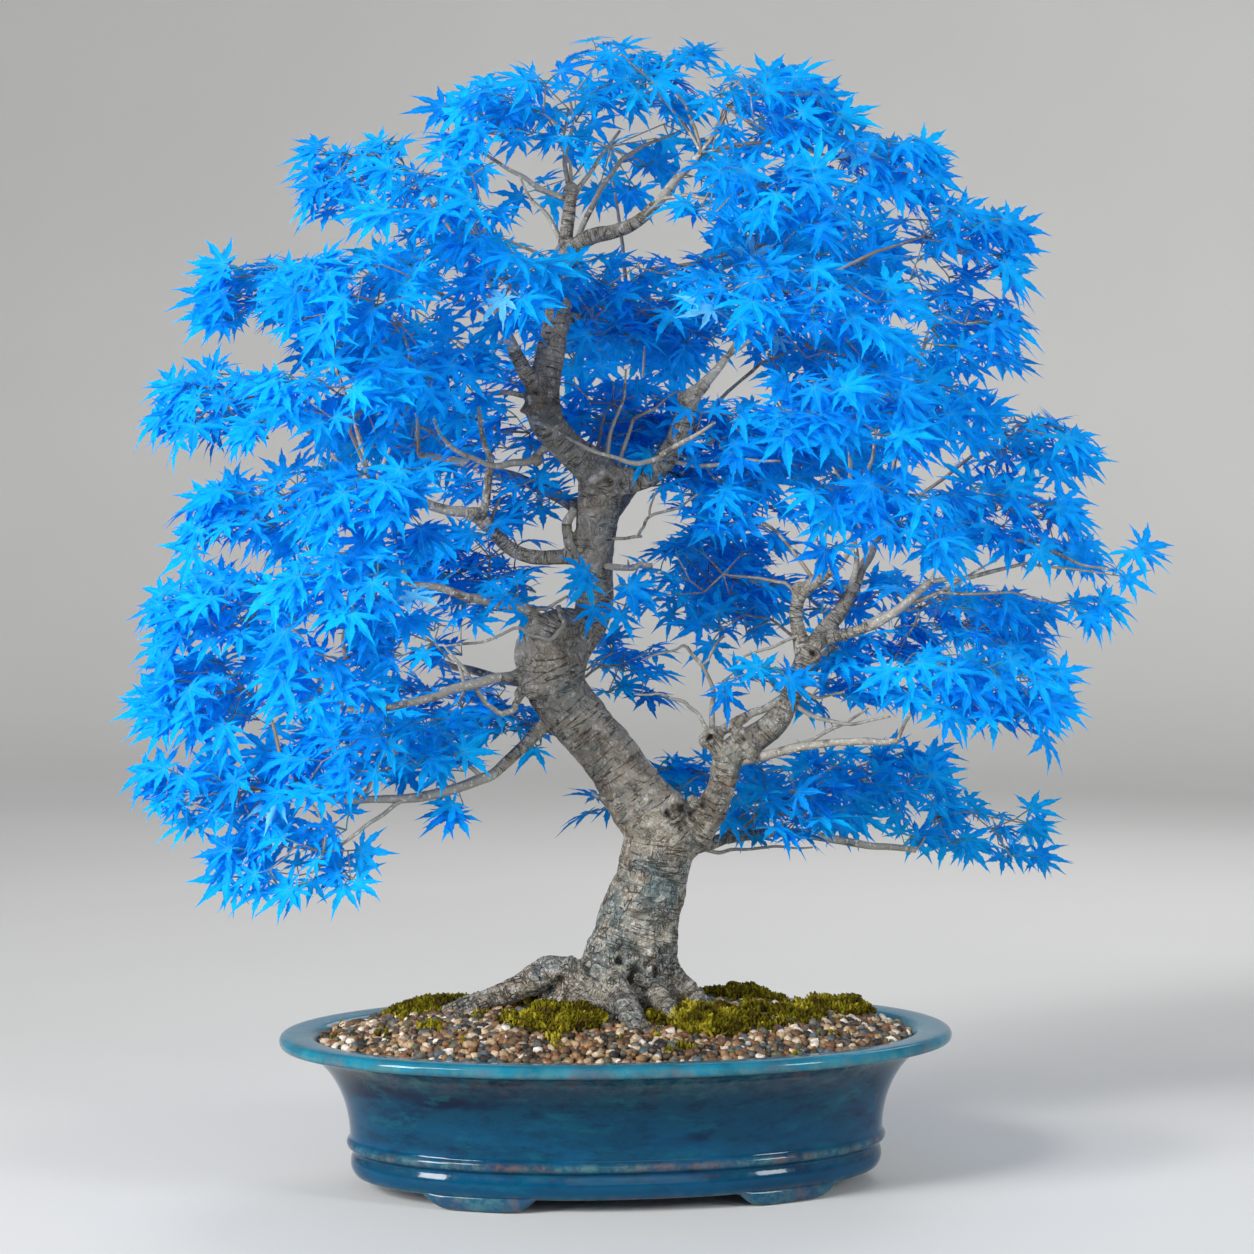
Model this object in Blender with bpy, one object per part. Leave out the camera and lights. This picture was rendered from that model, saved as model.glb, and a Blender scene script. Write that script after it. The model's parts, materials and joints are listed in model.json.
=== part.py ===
"""A maple bonsai in an oval glazed pot, at its real size, in metres with +Z up.

The four feet stand on z = 0 and the pot's long side runs along X. The tree was planted turned
about Z by TREE_TURN, so its roots, limbs, leaf sprays and moss are written in the tree's own
axes: across (left to right), back (front to back) and up, in millimetres.
"""

import math

import bmesh
import bpy
from mathutils import Matrix, Vector, noise

MM = 0.001
CLEARANCE = 0.3 * MM

# The pot is placed so that the middle of the whole model's bounding box is over the origin.
POT_PLACE = Vector((-0.006, -0.007, 0.0))
TREE_TURN = math.radians(-8)

# The pot: an oval, a little squarer than an ellipse, with the same flare all round.
RIM_HALF_LENGTH = 0.170
RIM_HALF_WIDTH = 0.116
RIM_HEIGHT = 0.077
OVAL_POWER = 2.1
OVAL_SIDES = 40
UNDERSIDE_HEIGHT = 0.0065
FLOOR_HEIGHT = 0.013

# Inset from the rim's edge and height of each point of the pot's wall, from the underside,
# up the outside, over the lip and down the inside to the floor.
POT_PROFILE_MM = [
    (40.0, 6.5),
    (37.2, 8.0),
    (35.6, 11.5),
    (35.8, 15.5),
    (36.8, 18.4),
    (34.4, 20.8),
    (33.4, 22.8),
    (34.3, 25.0),
    (35.0, 27.0),
    (34.2, 36.0),
    (31.6, 46.0),
    (26.6, 56.0),
    (20.6, 64.0),
    (14.0, 68.6),
    (4.0, 69.8),
    (0.6, 71.4),
    (0.0, 73.8),
    (1.2, 76.2),
    (3.6, 77.0),
    (15.5, 76.2),
    (18.0, 75.0),
    (22.5, 69.5),
    (31.0, 57.0),
    (37.5, 43.0),
    (40.5, 28.0),
    (42.0, 17.0),
    (46.0, 13.0),
]

# The feet are what is left of an oval plinth after the gaps between them are cut.
PLINTH_INSET = 0.0375
PLINTH_BATTER = 0.0015
PLINTH_THICKNESS = 0.015
FOOT_FROM_TOP = 0.051
FOOT_TO_TOP = 0.103
FOOT_SLOPE = 0.008
FOOT_JOIN = 0.002
HOLLOW_HEIGHTS = (-0.005, 0.02)

# Drainage, with a net held over each hole by a wire bent through it.
DRAIN_OFFSET = 0.055
DRAIN_RADIUS = 0.011
DRAIN_SIDES = 24
CUT_DEPTH = 0.03
SCREEN_SIDE = 0.042
SCREEN_THICKNESS = 0.0012
SCREEN_POCKET_DEPTH = 0.005
SCREEN_POCKET_DROP = 0.001
SCREEN_HOLES = 4
SCREEN_PITCH = 0.009
SCREEN_HOLE_SIDE = 0.0062
CLIP_WIRE_RADIUS = 0.0008
CLIP_REACH = 0.018
CLIP_BEND = 0.0015
CLIP_TOP_BEND = 0.0012
CLIP_ROUNDNESS = 2

# The soil fills the pot and rises to a mound at the trunk, under a layer of gravel.
GRAVEL_EDGE_INSET = 0.0209
GRAVEL_EDGE_HEIGHT = 0.0728
MOUND_RISE = 0.0145
GRAVEL_THICKNESS = 0.006
GRAVEL_EDGE_SLOPE = 0.0045
MOUND_POWER = 0.8
MOUND_STEPS = (0.86, 0.7, 0.52, 0.34, 0.16)
SOIL_WALL_MM = [(46.6, 13.4), (42.6, 17.4), (41.0, 28.2), (38.0, 43.2), (31.5, 57.2), (25.6, 65.6)]

# Roots, trunk and limbs: (across, back, up, radius) in millimetres, from the thick end.
TRUNK = [
    (2, 0, 46, 12), (2, 0, 70, 22), (2, 0, 92, 29), (7, 0, 114, 22.5), (14, 0, 142, 19),
    (19, -1, 162, 18), (21, -2, 177, 19), (11, -2, 191, 16.5), (0, 0, 209, 14.5),
    (-18, 2, 230, 14.4), (-30, 2, 246, 15.5), (-36, 0, 265, 16.5), (-39, -3, 278, 12.5),
    (-39, -5, 286, 9),
]
LEADER = [
    (-29, 2, 256, 11), (-22, 8, 269, 9.5), (-13, 12, 286, 9.4), (-12, 12, 305, 9.6),
    (-12, 10, 322, 10.3), (-10, 8, 339, 11.4), (-9, 6, 354, 11.5), (-14, 4, 361, 9.5),
    (-22, 1, 367, 8.4), (-33, -5, 378, 8.6), (-38, -8, 391, 9.2), (-36, -6, 407, 7.4),
    (-31, -2, 434, 6.8), (-28, 0, 456, 6), (-27, 0, 469, 4), (-25, -2, 486, 3.5), (-23, -4, 500, 3),
]
LIMBS = {
    "right": [
        (24, -1, 166, 12), (36, -2, 175, 10.5), (45, -4, 185, 8.6), (52, -8, 199, 7),
        (56, -8, 214, 8), (66, -10, 222, 7.4), (79, -12, 232, 6.5), (86, -12, 244, 5.4),
        (91, -12, 256, 5.4), (95, -12, 268, 5),
    ],
    "right_hooked": [
        (93, -12, 260, 4), (91, -12, 274, 3.8), (89, -14, 285, 3.5), (91, -16, 295, 3.4),
        (98, -18, 302, 3.2), (108, -22, 309, 2.9), (115, -25, 320, 2.6), (118, -28, 331, 2.2),
    ],
    "right_upper": [
        (93, -12, 262, 4.6), (103, -8, 277, 4.3), (112, -6, 287, 4), (118, -4, 298, 3.4),
        (123, 0, 309, 2.8), (130, 7, 321, 2),
    ],
    "right_far": [
        (100, -10, 273, 3.4), (114, -14, 276, 3), (126, -20, 280, 2.7), (141, -28, 290, 2.3),
        (154, -34, 302, 1.8),
    ],
    "right_low_front": [
        (60, -9, 212, 3), (80, -18, 217, 2.4), (97, -26, 221, 2.1), (115, -34, 223, 1.8),
        (137, -42, 224, 1.5),
    ],
    "right_low_back": [
        (30, 2, 166, 5), (44, 14, 168, 3.8), (58, 34, 170, 3.2), (80, 52, 171, 2.8),
        (104, 68, 168, 2.4), (136, 84, 161, 1.9), (160, 92, 158, 1.5),
    ],
    "fork_top_right": [
        (-28, 0, 459, 4.5), (-21, -5, 471, 4.3), (-13, -10, 475, 4.2), (-1, -16, 477, 3.8),
        (11, -21, 482, 3.3), (20, -26, 490, 2.8), (31, -31, 503, 2.2), (41, -34, 513, 1.7),
    ],
    "left_of_leader": [
        (-38, -8, 394, 5), (-46, -14, 406, 4), (-52, -19, 418, 3.4), (-58, -24, 430, 2.4),
    ],
    "fork_middle_right": [
        (-9, 5, 352, 8), (4, 2, 353, 7), (16, 0, 356, 6.2), (26, -4, 367, 5.8), (33, -8, 382, 5.6),
        (36, -10, 392, 4.4), (44, -12, 402, 3), (54, -15, 414, 1.9),
    ],
    "left_first": [
        (-34, 2, 252, 4.6), (-46, -4, 254, 3.2), (-60, -14, 254, 2.8), (-76, -24, 250, 2.5),
        (-95, -35, 244, 2.2), (-116, -50, 240, 1.8), (-134, -58, 240, 1.5),
    ],
    "left_low": [
        (-26, 2, 238, 5), (-39, -4, 228, 3.8), (-49, -10, 218, 3.3), (-62, -17, 206, 2.9),
        (-86, -28, 198, 2.5), (-106, -36, 195, 2.2), (-128, -46, 195, 1.8), (-150, -54, 197, 1.5),
    ],
    "left_middle": [
        (-12, 11, 315, 6), (-27, 8, 315, 4.4), (-45, 6, 315, 4), (-56, 4, 320, 3.5),
        (-65, 0, 330, 3.2), (-76, -4, 337, 3), (-90, -9, 339, 2.5), (-107, -18, 344, 2),
        (-122, -24, 348, 1.6),
    ],
    "left_knot": [
        (-34, -2, 276, 4), (-45, -8, 288, 3), (-58, -14, 291, 2.6), (-74, -24, 294, 2.2),
        (-88, -34, 299, 1.9), (-103, -42, 300, 1.5),
    ],
    "back_low_left": [
        (-24, 6, 240, 5), (-34, 26, 246, 3.4), (-52, 46, 250, 2.8), (-78, 62, 256, 2.2),
        (-104, 72, 262, 1.6),
    ],
    "back_right": [
        (82, -10, 236, 4), (92, 12, 248, 3.2), (104, 34, 262, 2.6), (118, 54, 274, 2),
        (134, 66, 282, 1.5),
    ],
    "back_middle": [
        (-11, 14, 326, 5), (-2, 36, 338, 3.6), (8, 62, 352, 2.8), (16, 86, 362, 2.2),
        (20, 104, 368, 1.6),
    ],
    "back_middle_left": [
        (-12, 12, 334, 5), (-30, 30, 346, 3.6), (-56, 48, 358, 2.8), (-84, 62, 366, 2.2),
        (-106, 70, 370, 1.6),
    ],
    "back_upper": [
        (-32, -1, 426, 4), (-24, 24, 438, 2.8), (-12, 50, 448, 2.2), (4, 76, 458, 1.6),
    ],
}
# A limb that leaves the trunk with more than this radius is given more sides
THICK_LIMB = 4
TRUNK_SIDES = 12
LEADER_SIDES = 10
ROOT_SIDES = 8
THICK_LIMB_SIDES = 8
THIN_LIMB_SIDES = 6
TWIG_SIDES = 4
ROOTS = {
    "left": [
        (-6, -2, 104, 14), (-22, -4, 109, 11), (-34, -4, 106, 8.6), (-48, -4, 99, 7.2),
        (-62, -2, 94, 6), (-80, 2, 88, 4.4), (-92, 6, 82, 3), (-100, 9, 76, 2),
    ],
    "left_tip": [(-62, -2, 92, 4), (-76, -12, 87, 2.8), (-88, -20, 79, 2)],
    "front": [(-2, -12, 104, 9), (0, -26, 95, 6.5), (5, -36, 89, 5), (10, -46, 80, 3)],
    "front_right": [(12, -10, 104, 9), (19, -26, 94, 5.6), (26, -38, 86, 4), (31, -48, 78, 2.6)],
    "right": [(18, -2, 104, 10), (33, -4, 96, 6), (43, -10, 88, 4.4), (53, -16, 79, 2.6)],
    "back_left": [(-4, 12, 104, 9), (-15, 32, 92, 5.6), (-24, 47, 80, 3)],
    "back_right": [(14, 12, 104, 9), (27, 34, 92, 5.4), (38, 51, 79, 3)],
    "buried_left": [(0, 0, 62, 10), (-34, -12, 56, 6), (-70, -20, 50, 3.6), (-98, -24, 46, 2)],
    "buried_right": [(4, 0, 60, 10), (38, 12, 54, 6), (74, 20, 48, 3.6), (100, 24, 45, 2)],
    "buried_back": [(0, 4, 62, 8), (-24, 32, 52, 5), (-54, 50, 46, 2.6)],
    "buried_front": [(4, -4, 62, 8), (24, -32, 52, 5), (54, -48, 46, 2.6)],
}

# Leaf sprays: flat cushions of leaves. Middle (across, back, up), half size across and back,
# all in millimetres. Each droops away from the tree's axis.
SPRAYS = {
    "crown": (17, 0, 557, 40, 44),
    "crown_left": (-63, -34, 534, 42, 40),
    "crown_right": (86, -40, 534, 42, 42),
    "crown_back": (10, 81, 530, 70, 38),
    "upper_left_tip": (-137, -12, 508, 38, 40),
    "upper_right_tip": (142, -14, 510, 38, 42),
    "upper_left_front": (-92, -99, 486, 42, 36),
    "upper_right_front": (76, -104, 484, 46, 36),
    "upper_right_far": (184, 0, 474, 36, 46),
    "upper_left_back": (-98, 88, 484, 50, 42),
    "upper_right_back": (112, 99, 482, 52, 42),
    "third_left_tip": (-186, -6, 448, 40, 46),
    "third_left_front": (-134, -111, 440, 42, 40),
    "third_middle_front": (-62, -84, 444, 28, 30),
    "third_right_front": (92, -122, 434, 58, 34),
    "third_right_tip": (188, 20, 432, 36, 44),
    "third_left_back": (-142, 104, 438, 46, 42),
    "third_right_back": (128, 127, 430, 54, 38),
    "third_back": (4, 149, 446, 56, 36),
    "fourth_left_tip": (-212, -16, 392, 38, 46),
    "fourth_left_front": (-146, -120, 388, 42, 36),
    "fourth_left_middle": (-100, -54, 402, 34, 32),
    "fourth_right_front": (112, -120, 382, 48, 36),
    "fourth_right_middle": (160, -36, 388, 40, 36),
    "fourth_right_tip": (222, 10, 374, 32, 44),
    "fourth_left_back": (-130, 111, 384, 50, 42),
    "fourth_right_back": (110, 127, 376, 56, 40),
    "fifth_left": (-190, -30, 338, 40, 44),
    "fifth_left_front": (-126, -118, 342, 40, 36),
    "fifth_right_front": (132, -104, 336, 44, 36),
    "fifth_right": (206, -16, 334, 50, 42),
    "sixth_left": (-206, -36, 290, 44, 44),
    "sixth_left_front": (-136, -122, 300, 40, 34),
    "sixth_right": (188, 12, 286, 50, 48),
    "sixth_middle": (62, 72, 312, 36, 38),
    "seventh_left": (-214, -28, 247, 38, 42),
    "seventh_left_middle": (-150, -104, 258, 34, 34),
    "seventh_right": (186, -58, 252, 52, 38),
    "tuft_front": (-8, -34, 298, 24, 16),
    "tuft_behind": (10, 42, 258, 28, 20),
    "eighth_left": (-132, -42, 218, 62, 38),
    "low_right": (104, 77, 192, 46, 36),
    "low_right_tip": (196, 113, 172, 56, 34),
    "low_left": (-168, -44, 168, 42, 32),
    "lone_leaf": (257, -60, 306, 15, 13),
}
SPRAY_SIDES = 10
SPRAY_RINGS = 6
SPRAY_HALF_THICKNESS = 6.5
SPRAY_DROOP = 0.30
SPRAY_BEND = 0.0022
SPRAY_LUMP = 1.6
SPRAY_LUMP_SCALE = 0.05

# The twig that carries each spray leaves the nearest limb and ends inside the spray.
TWIG_RADII = (1.7, 1.4, 1.1)
TWIG_ARCH = 0.07
CLIMB_DOWN_COST = 1.5

MOSS_SIDES = 14
MOSS_RINGS = 7
# Moss cushions: middle (across, back), half size across and back, and height.
MOSS = {
    "left": (-97, 30, 26, 30, 6),
    "front_left": (-28, -40, 24, 24, 7),
    "front_right": (44, -38, 22, 24, 7),
    "back_right": (62, 54, 23, 21, 7),
    "small": (88, -12, 15, 15, 5),
    "right": (114, 28, 19, 19, 8),
}

PARTS = "bonsai_tree_in_pot"
CUTTERS = "cutters"


def clear_scene():
    for obj in list(bpy.data.objects):
        bpy.data.objects.remove(obj, do_unlink=True)


def collection(name):
    made = bpy.data.collections.get(name)
    if made is None:
        made = bpy.data.collections.new(name)
        bpy.context.scene.collection.children.link(made)
    return made


def material(name, colour, roughness, metallic=0.0):
    made = bpy.data.materials.new(name)
    made.use_nodes = True
    shader = made.node_tree.nodes["Principled BSDF"]
    shader.inputs["Base Color"].default_value = (*colour, 1.0)
    shader.inputs["Roughness"].default_value = roughness
    shader.inputs["Metallic"].default_value = metallic
    return made


def add_object(name, data, look=None, where=PARTS):
    obj = bpy.data.objects.new(name, data)
    collection(where).objects.link(obj)
    if look:
        data.materials.append(look)
    return obj


def as_cutter(obj):
    for owner in list(obj.users_collection):
        owner.objects.unlink(obj)
    collection(CUTTERS).objects.link(obj)
    obj.hide_render = True
    obj.display_type = "WIRE"
    return obj


def boolean(obj, other, operation="DIFFERENCE", solver="EXACT"):
    step = obj.modifiers.new(f"{operation.lower()}_{other.name}", "BOOLEAN")
    step.operation = operation
    step.object = other
    step.solver = solver


def freeze(obj):
    """Replaces the object's mesh by what its modifiers make of it."""
    bpy.context.view_layer.update()
    graph = bpy.context.evaluated_depsgraph_get()
    made = bpy.data.meshes.new_from_object(obj.evaluated_get(graph))
    obj.modifiers.clear()
    obj.data = made


def smooth(obj, angle=40):
    obj.data.shade_smooth()
    obj.data.set_sharp_from_angle(angle=math.radians(angle))


def oval(half_length, half_width, height):
    """Points round an oval centred on the pot, at one height."""
    points = []
    for step in range(OVAL_SIDES):
        turn = 2 * math.pi * step / OVAL_SIDES
        across = math.copysign(abs(math.cos(turn)) ** (2 / OVAL_POWER), math.cos(turn))
        back = math.copysign(abs(math.sin(turn)) ** (2 / OVAL_POWER), math.sin(turn))
        points.append(Vector((across * half_length, back * half_width, height)))
    return points


def inset_oval(inset, height):
    return oval(RIM_HALF_LENGTH - inset, RIM_HALF_WIDTH - inset, height)


def loft(name, rings, look=None):
    """A closed solid through rings with equal numbers of points, capped at both ends."""
    shape = bmesh.new()
    loops = []
    for ring in rings:
        points = [shape.verts.new(point) for point in ring]
        pairs = zip(points, points[1:] + points[:1])
        loops.append([shape.edges.new(pair) for pair in pairs])
    for first, second in zip(loops, loops[1:]):
        bmesh.ops.bridge_loops(shape, edges=first + second)
    for end in (loops[0], loops[-1]):
        bmesh.ops.contextual_create(shape, geom=end)
    bmesh.ops.recalc_face_normals(shape, faces=shape.faces)
    mesh = bpy.data.meshes.new(name)
    shape.to_mesh(mesh)
    shape.free()
    obj = add_object(name, mesh, look)
    obj.location = POT_PLACE
    return obj


def box(name, size, middle, look=None):
    shape = bmesh.new()
    bmesh.ops.create_cube(shape, size=1.0, matrix=Matrix.Diagonal((*size, 1.0)))
    mesh = bpy.data.meshes.new(name)
    shape.to_mesh(mesh)
    shape.free()
    obj = add_object(name, mesh, look)
    obj.location = middle
    return obj


def tree_point(across, back, up):
    """A point given in the tree's axes in millimetres, in the model's frame."""
    return Matrix.Rotation(TREE_TURN, 3, "Z") @ Vector((across, back, up)) * MM + POT_PLACE


def tube(name, route, sides, extra=0.0, steps=1):
    """A tapered limb along a route of (across, back, up, radius), as a closed mesh."""
    curve = bpy.data.curves.new(name, "CURVE")
    curve.dimensions = "3D"
    curve.resolution_u = steps
    curve.bevel_depth = MM
    curve.bevel_resolution = sides // 2 - 2
    curve.use_fill_caps = True
    spline = curve.splines.new("BEZIER")
    spline.bezier_points.add(len(route) - 1)
    for point, (across, back, up, radius) in zip(spline.bezier_points, route):
        point.co = tree_point(across, back, up)
        point.radius = radius + extra / MM
        point.handle_left_type = "AUTO"
        point.handle_right_type = "AUTO"
    guide = add_object(f"{name}_guide", curve)
    bpy.context.view_layer.update()
    graph = bpy.context.evaluated_depsgraph_get()
    mesh = bpy.data.meshes.new_from_object(guide.evaluated_get(graph))
    bpy.data.objects.remove(guide, do_unlink=True)
    shape = bmesh.new()
    shape.from_mesh(mesh)
    bmesh.ops.remove_doubles(shape, verts=shape.verts, dist=0.00001)
    bmesh.ops.recalc_face_normals(shape, faces=shape.faces)
    shape.to_mesh(mesh)
    shape.free()
    return add_object(name, mesh)


def twig_route(middle):
    """From the limb point that is nearest, counting a way down as longer, to a spray's middle."""
    limb_points = [Vector(point[:3]) for route in (LEADER, *LIMBS.values()) for point in route]
    reach = {
        (point - middle).length + CLIMB_DOWN_COST * max(0.0, point.z - middle.z): point
        for point in limb_points
    }
    start = reach[min(reach)]
    half_way = start.lerp(middle, 0.5)
    half_way.z += TWIG_ARCH * (middle - start).length
    return [(*point, radius) for point, radius in zip((start, half_way, middle), TWIG_RADII)]


def make_wood(name, extra=0.0):
    """Roots, trunk, limbs and the spray-bearing twigs joined into the one piece they grew as."""
    wood = tube(name, TRUNK, TRUNK_SIDES, extra, steps=2)
    pieces = [tube("leader", LEADER, LEADER_SIDES, extra)]
    for key, route in LIMBS.items():
        sides = THICK_LIMB_SIDES if route[0][3] > THICK_LIMB else THIN_LIMB_SIDES
        pieces.append(tube(f"limb_{key}", route, sides, extra))
    for key, route in ROOTS.items():
        pieces.append(tube(f"root_{key}", route, ROOT_SIDES, extra))
    for key, spray in SPRAYS.items():
        route = twig_route(Vector(spray[:3]))
        pieces.append(tube(f"twig_{key}", route, TWIG_SIDES, extra))
    for piece in pieces:
        boolean(wood, piece, "UNION", "MANIFOLD")
        freeze(wood)
        bpy.data.objects.remove(piece, do_unlink=True)
    return wood


def make_pot():
    glaze = material("blue_glaze", (0.006, 0.12, 0.22), 0.12)
    rings = [inset_oval(inset * MM, height * MM) for inset, height in POT_PROFILE_MM]
    pot = loft("pot", rings, glaze)
    feet = make_feet()
    boolean(pot, feet, "UNION")
    freeze(pot)
    bpy.data.objects.remove(feet, do_unlink=True)
    for side in (-1, 1):
        drain = bpy.data.meshes.new(f"drain_{side}")
        shape = bmesh.new()
        bmesh.ops.create_cone(
            shape, cap_ends=True, segments=DRAIN_SIDES, radius1=DRAIN_RADIUS, radius2=DRAIN_RADIUS,
            depth=CUT_DEPTH,
        )
        shape.to_mesh(drain)
        shape.free()
        cutter = as_cutter(add_object(f"drain_{side}", drain))
        cutter.location = POT_PLACE + Vector((side * DRAIN_OFFSET, 0, FLOOR_HEIGHT))
        boolean(pot, cutter)
    smooth(pot)


def make_feet():
    """Four bracket feet, each narrower at the ground than at the pot."""
    top = UNDERSIDE_HEIGHT + FOOT_JOIN
    inner = PLINTH_INSET + PLINTH_THICKNESS
    feet = loft("feet", [inset_oval(PLINTH_INSET + PLINTH_BATTER, 0), inset_oval(PLINTH_INSET, top)])
    hollow = as_cutter(loft("plinth_hollow", [inset_oval(inner, height) for height in HOLLOW_HEIGHTS]))
    cutters = [hollow]
    middle_gap = foot_gap("gap_middle", -FOOT_FROM_TOP, FOOT_FROM_TOP)
    cutters.append(middle_gap)
    for side in (-1, 1):
        ends = sorted((side * FOOT_TO_TOP, side * 2 * RIM_HALF_LENGTH))
        cutters.append(foot_gap(f"gap_end_{side}", *ends))
    for cutter in cutters:
        boolean(feet, cutter)
        freeze(feet)
        bpy.data.objects.remove(cutter, do_unlink=True)
    return feet


def foot_gap(name, left, right):
    """A prism along Y that is wider at the ground, so that the feet beside it taper down."""
    shape = bmesh.new()
    reach = 2 * RIM_HALF_WIDTH
    low = -0.001
    high = UNDERSIDE_HEIGHT
    outline = [
        (left - FOOT_SLOPE, low), (right + FOOT_SLOPE, low), (right + FOOT_SLOPE * 0.5, high * 0.7),
        (right, high), (right, 0.02), (left, 0.02), (left, high), (left - FOOT_SLOPE * 0.5, high * 0.7),
    ]
    face = shape.faces.new([shape.verts.new((x, -reach, z)) for x, z in outline])
    made = bmesh.ops.extrude_face_region(shape, geom=[face])
    moved = [item for item in made["geom"] if isinstance(item, bmesh.types.BMVert)]
    bmesh.ops.translate(shape, verts=moved, vec=(0, 2 * reach, 0))
    bmesh.ops.recalc_face_normals(shape, faces=shape.faces)
    mesh = bpy.data.meshes.new(name)
    shape.to_mesh(mesh)
    shape.free()
    gap = as_cutter(add_object(name, mesh))
    gap.location = POT_PLACE
    return gap


def make_drain_screens():
    net = material("screen_plastic", (0.02, 0.02, 0.02), 0.5)
    wire = material("clip_aluminium", (0.5, 0.5, 0.5), 0.4, 1.0)
    height = FLOOR_HEIGHT + CLEARANCE + SCREEN_THICKNESS / 2
    for side, word in ((-1, "left"), (1, "right")):
        middle = POT_PLACE + Vector((side * DRAIN_OFFSET, 0, height))
        screen = box(f"drain_screen_{word}", (SCREEN_SIDE, SCREEN_SIDE, SCREEN_THICKNESS), middle, net)
        for row in range(SCREEN_HOLES):
            for column in range(SCREEN_HOLES):
                x = (column - (SCREEN_HOLES - 1) / 2) * SCREEN_PITCH
                y = (row - (SCREEN_HOLES - 1) / 2) * SCREEN_PITCH
                size = (SCREEN_HOLE_SIDE, SCREEN_HOLE_SIDE, CUT_DEPTH)
                hole = box("hole", size, middle + Vector((x, y, 0)))
                boolean(screen, hole)
                freeze(screen)
                bpy.data.objects.remove(hole, do_unlink=True)
        clip = make_clip(f"screen_clip_{word}", wire)
        clip.location = POT_PLACE + Vector((side * DRAIN_OFFSET, 0, 0))


def make_clip(name, look):
    """A staple of wire over one bar of the net, its legs bent outwards under the pot."""
    leg = SCREEN_PITCH / 2
    over = FLOOR_HEIGHT + 2 * CLEARANCE + SCREEN_THICKNESS + CLIP_WIRE_RADIUS
    under = UNDERSIDE_HEIGHT - CLEARANCE - CLIP_WIRE_RADIUS
    half = [
        (CLIP_REACH, under), (leg + CLIP_BEND, under), (leg, under + CLIP_BEND),
        (leg, over - CLIP_TOP_BEND), (leg - CLIP_TOP_BEND, over),
    ]
    route = [(-x, z) for x, z in half] + [(x, z) for x, z in reversed(half)]
    curve = bpy.data.curves.new(name, "CURVE")
    curve.dimensions = "3D"
    curve.bevel_depth = CLIP_WIRE_RADIUS
    curve.bevel_resolution = CLIP_ROUNDNESS
    curve.use_fill_caps = True
    spline = curve.splines.new("POLY")
    spline.points.add(len(route) - 1)
    for point, (x, z) in zip(spline.points, route):
        point.co = (x, leg, z, 1.0)
    return add_object(name, curve, look)


def mound_height(x, y):
    """Height of the gravel's surface at a place measured from the pot's centre."""
    across = abs(x) / (RIM_HALF_LENGTH - GRAVEL_EDGE_INSET)
    back = abs(y) / (RIM_HALF_WIDTH - GRAVEL_EDGE_INSET)
    share = min(1.0, across**OVAL_POWER + back**OVAL_POWER)
    return GRAVEL_EDGE_HEIGHT + MOUND_RISE * (1 - share) ** MOUND_POWER


def mound_ring(share, drop):
    """A ring of the mound's surface, lowered by drop, at a share of the way to its edge."""
    ring = oval(
        (RIM_HALF_LENGTH - GRAVEL_EDGE_INSET) * share, (RIM_HALF_WIDTH - GRAVEL_EDGE_INSET) * share, 0
    )
    for point in ring:
        point.z = mound_height(point.x, point.y) - drop
    return ring


def make_soil(wood_space):
    earth = material("soil", (0.05, 0.032, 0.02), 0.95)
    walls = [inset_oval(inset * MM, height * MM) for inset, height in SOIL_WALL_MM]
    drop = GRAVEL_THICKNESS + CLEARANCE
    soil = loft("soil", walls + [mound_ring(share, drop) for share in MOUND_STEPS], earth)
    boolean(soil, wood_space)
    for side in (-1, 1):
        width = SCREEN_SIDE + 2 * CLEARANCE
        depth = 2 * SCREEN_POCKET_DEPTH
        middle = POT_PLACE + Vector((side * DRAIN_OFFSET, 0, FLOOR_HEIGHT - SCREEN_POCKET_DROP))
        boolean(soil, as_cutter(box(f"screen_pocket_{side}", (width, width, depth), middle)))


def make_gravel(wood_space):
    stones = material("gravel", (0.25, 0.18, 0.12), 0.8)
    bottom = [mound_ring(share, GRAVEL_THICKNESS) for share in reversed(MOUND_STEPS)]
    edge = [
        inset_oval(GRAVEL_EDGE_INSET + GRAVEL_EDGE_SLOPE, GRAVEL_EDGE_HEIGHT - GRAVEL_THICKNESS),
        inset_oval(GRAVEL_EDGE_INSET, GRAVEL_EDGE_HEIGHT),
    ]
    top = [mound_ring(share, 0) for share in MOUND_STEPS]
    gravel = loft("gravel", bottom + edge + top, stones)
    boolean(gravel, wood_space)


def make_moss(wood_space):
    green = material("moss", (0.09, 0.12, 0.01), 0.95)
    for key, (across, back, half_across, half_back, height) in MOSS.items():
        shape = bmesh.new()
        bmesh.ops.create_uvsphere(shape, u_segments=MOSS_SIDES, v_segments=MOSS_RINGS, radius=1.0)
        for vertex in shape.verts:
            spot = tree_point(across + vertex.co.x * half_across, back + vertex.co.y * half_back, 0)
            rise = max(0.0, vertex.co.z) * height * MM
            ground = mound_height(spot.x - POT_PLACE.x, spot.y - POT_PLACE.y) + 2 * CLEARANCE
            sag = min(0.0, vertex.co.z) * CLEARANCE
            vertex.co = (spot.x, spot.y, ground + rise + sag)
        bmesh.ops.recalc_face_normals(shape, faces=shape.faces)
        mesh = bpy.data.meshes.new(f"moss_{key}")
        shape.to_mesh(mesh)
        shape.free()
        boolean(add_object(f"moss_{key}", mesh, green), wood_space)


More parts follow.
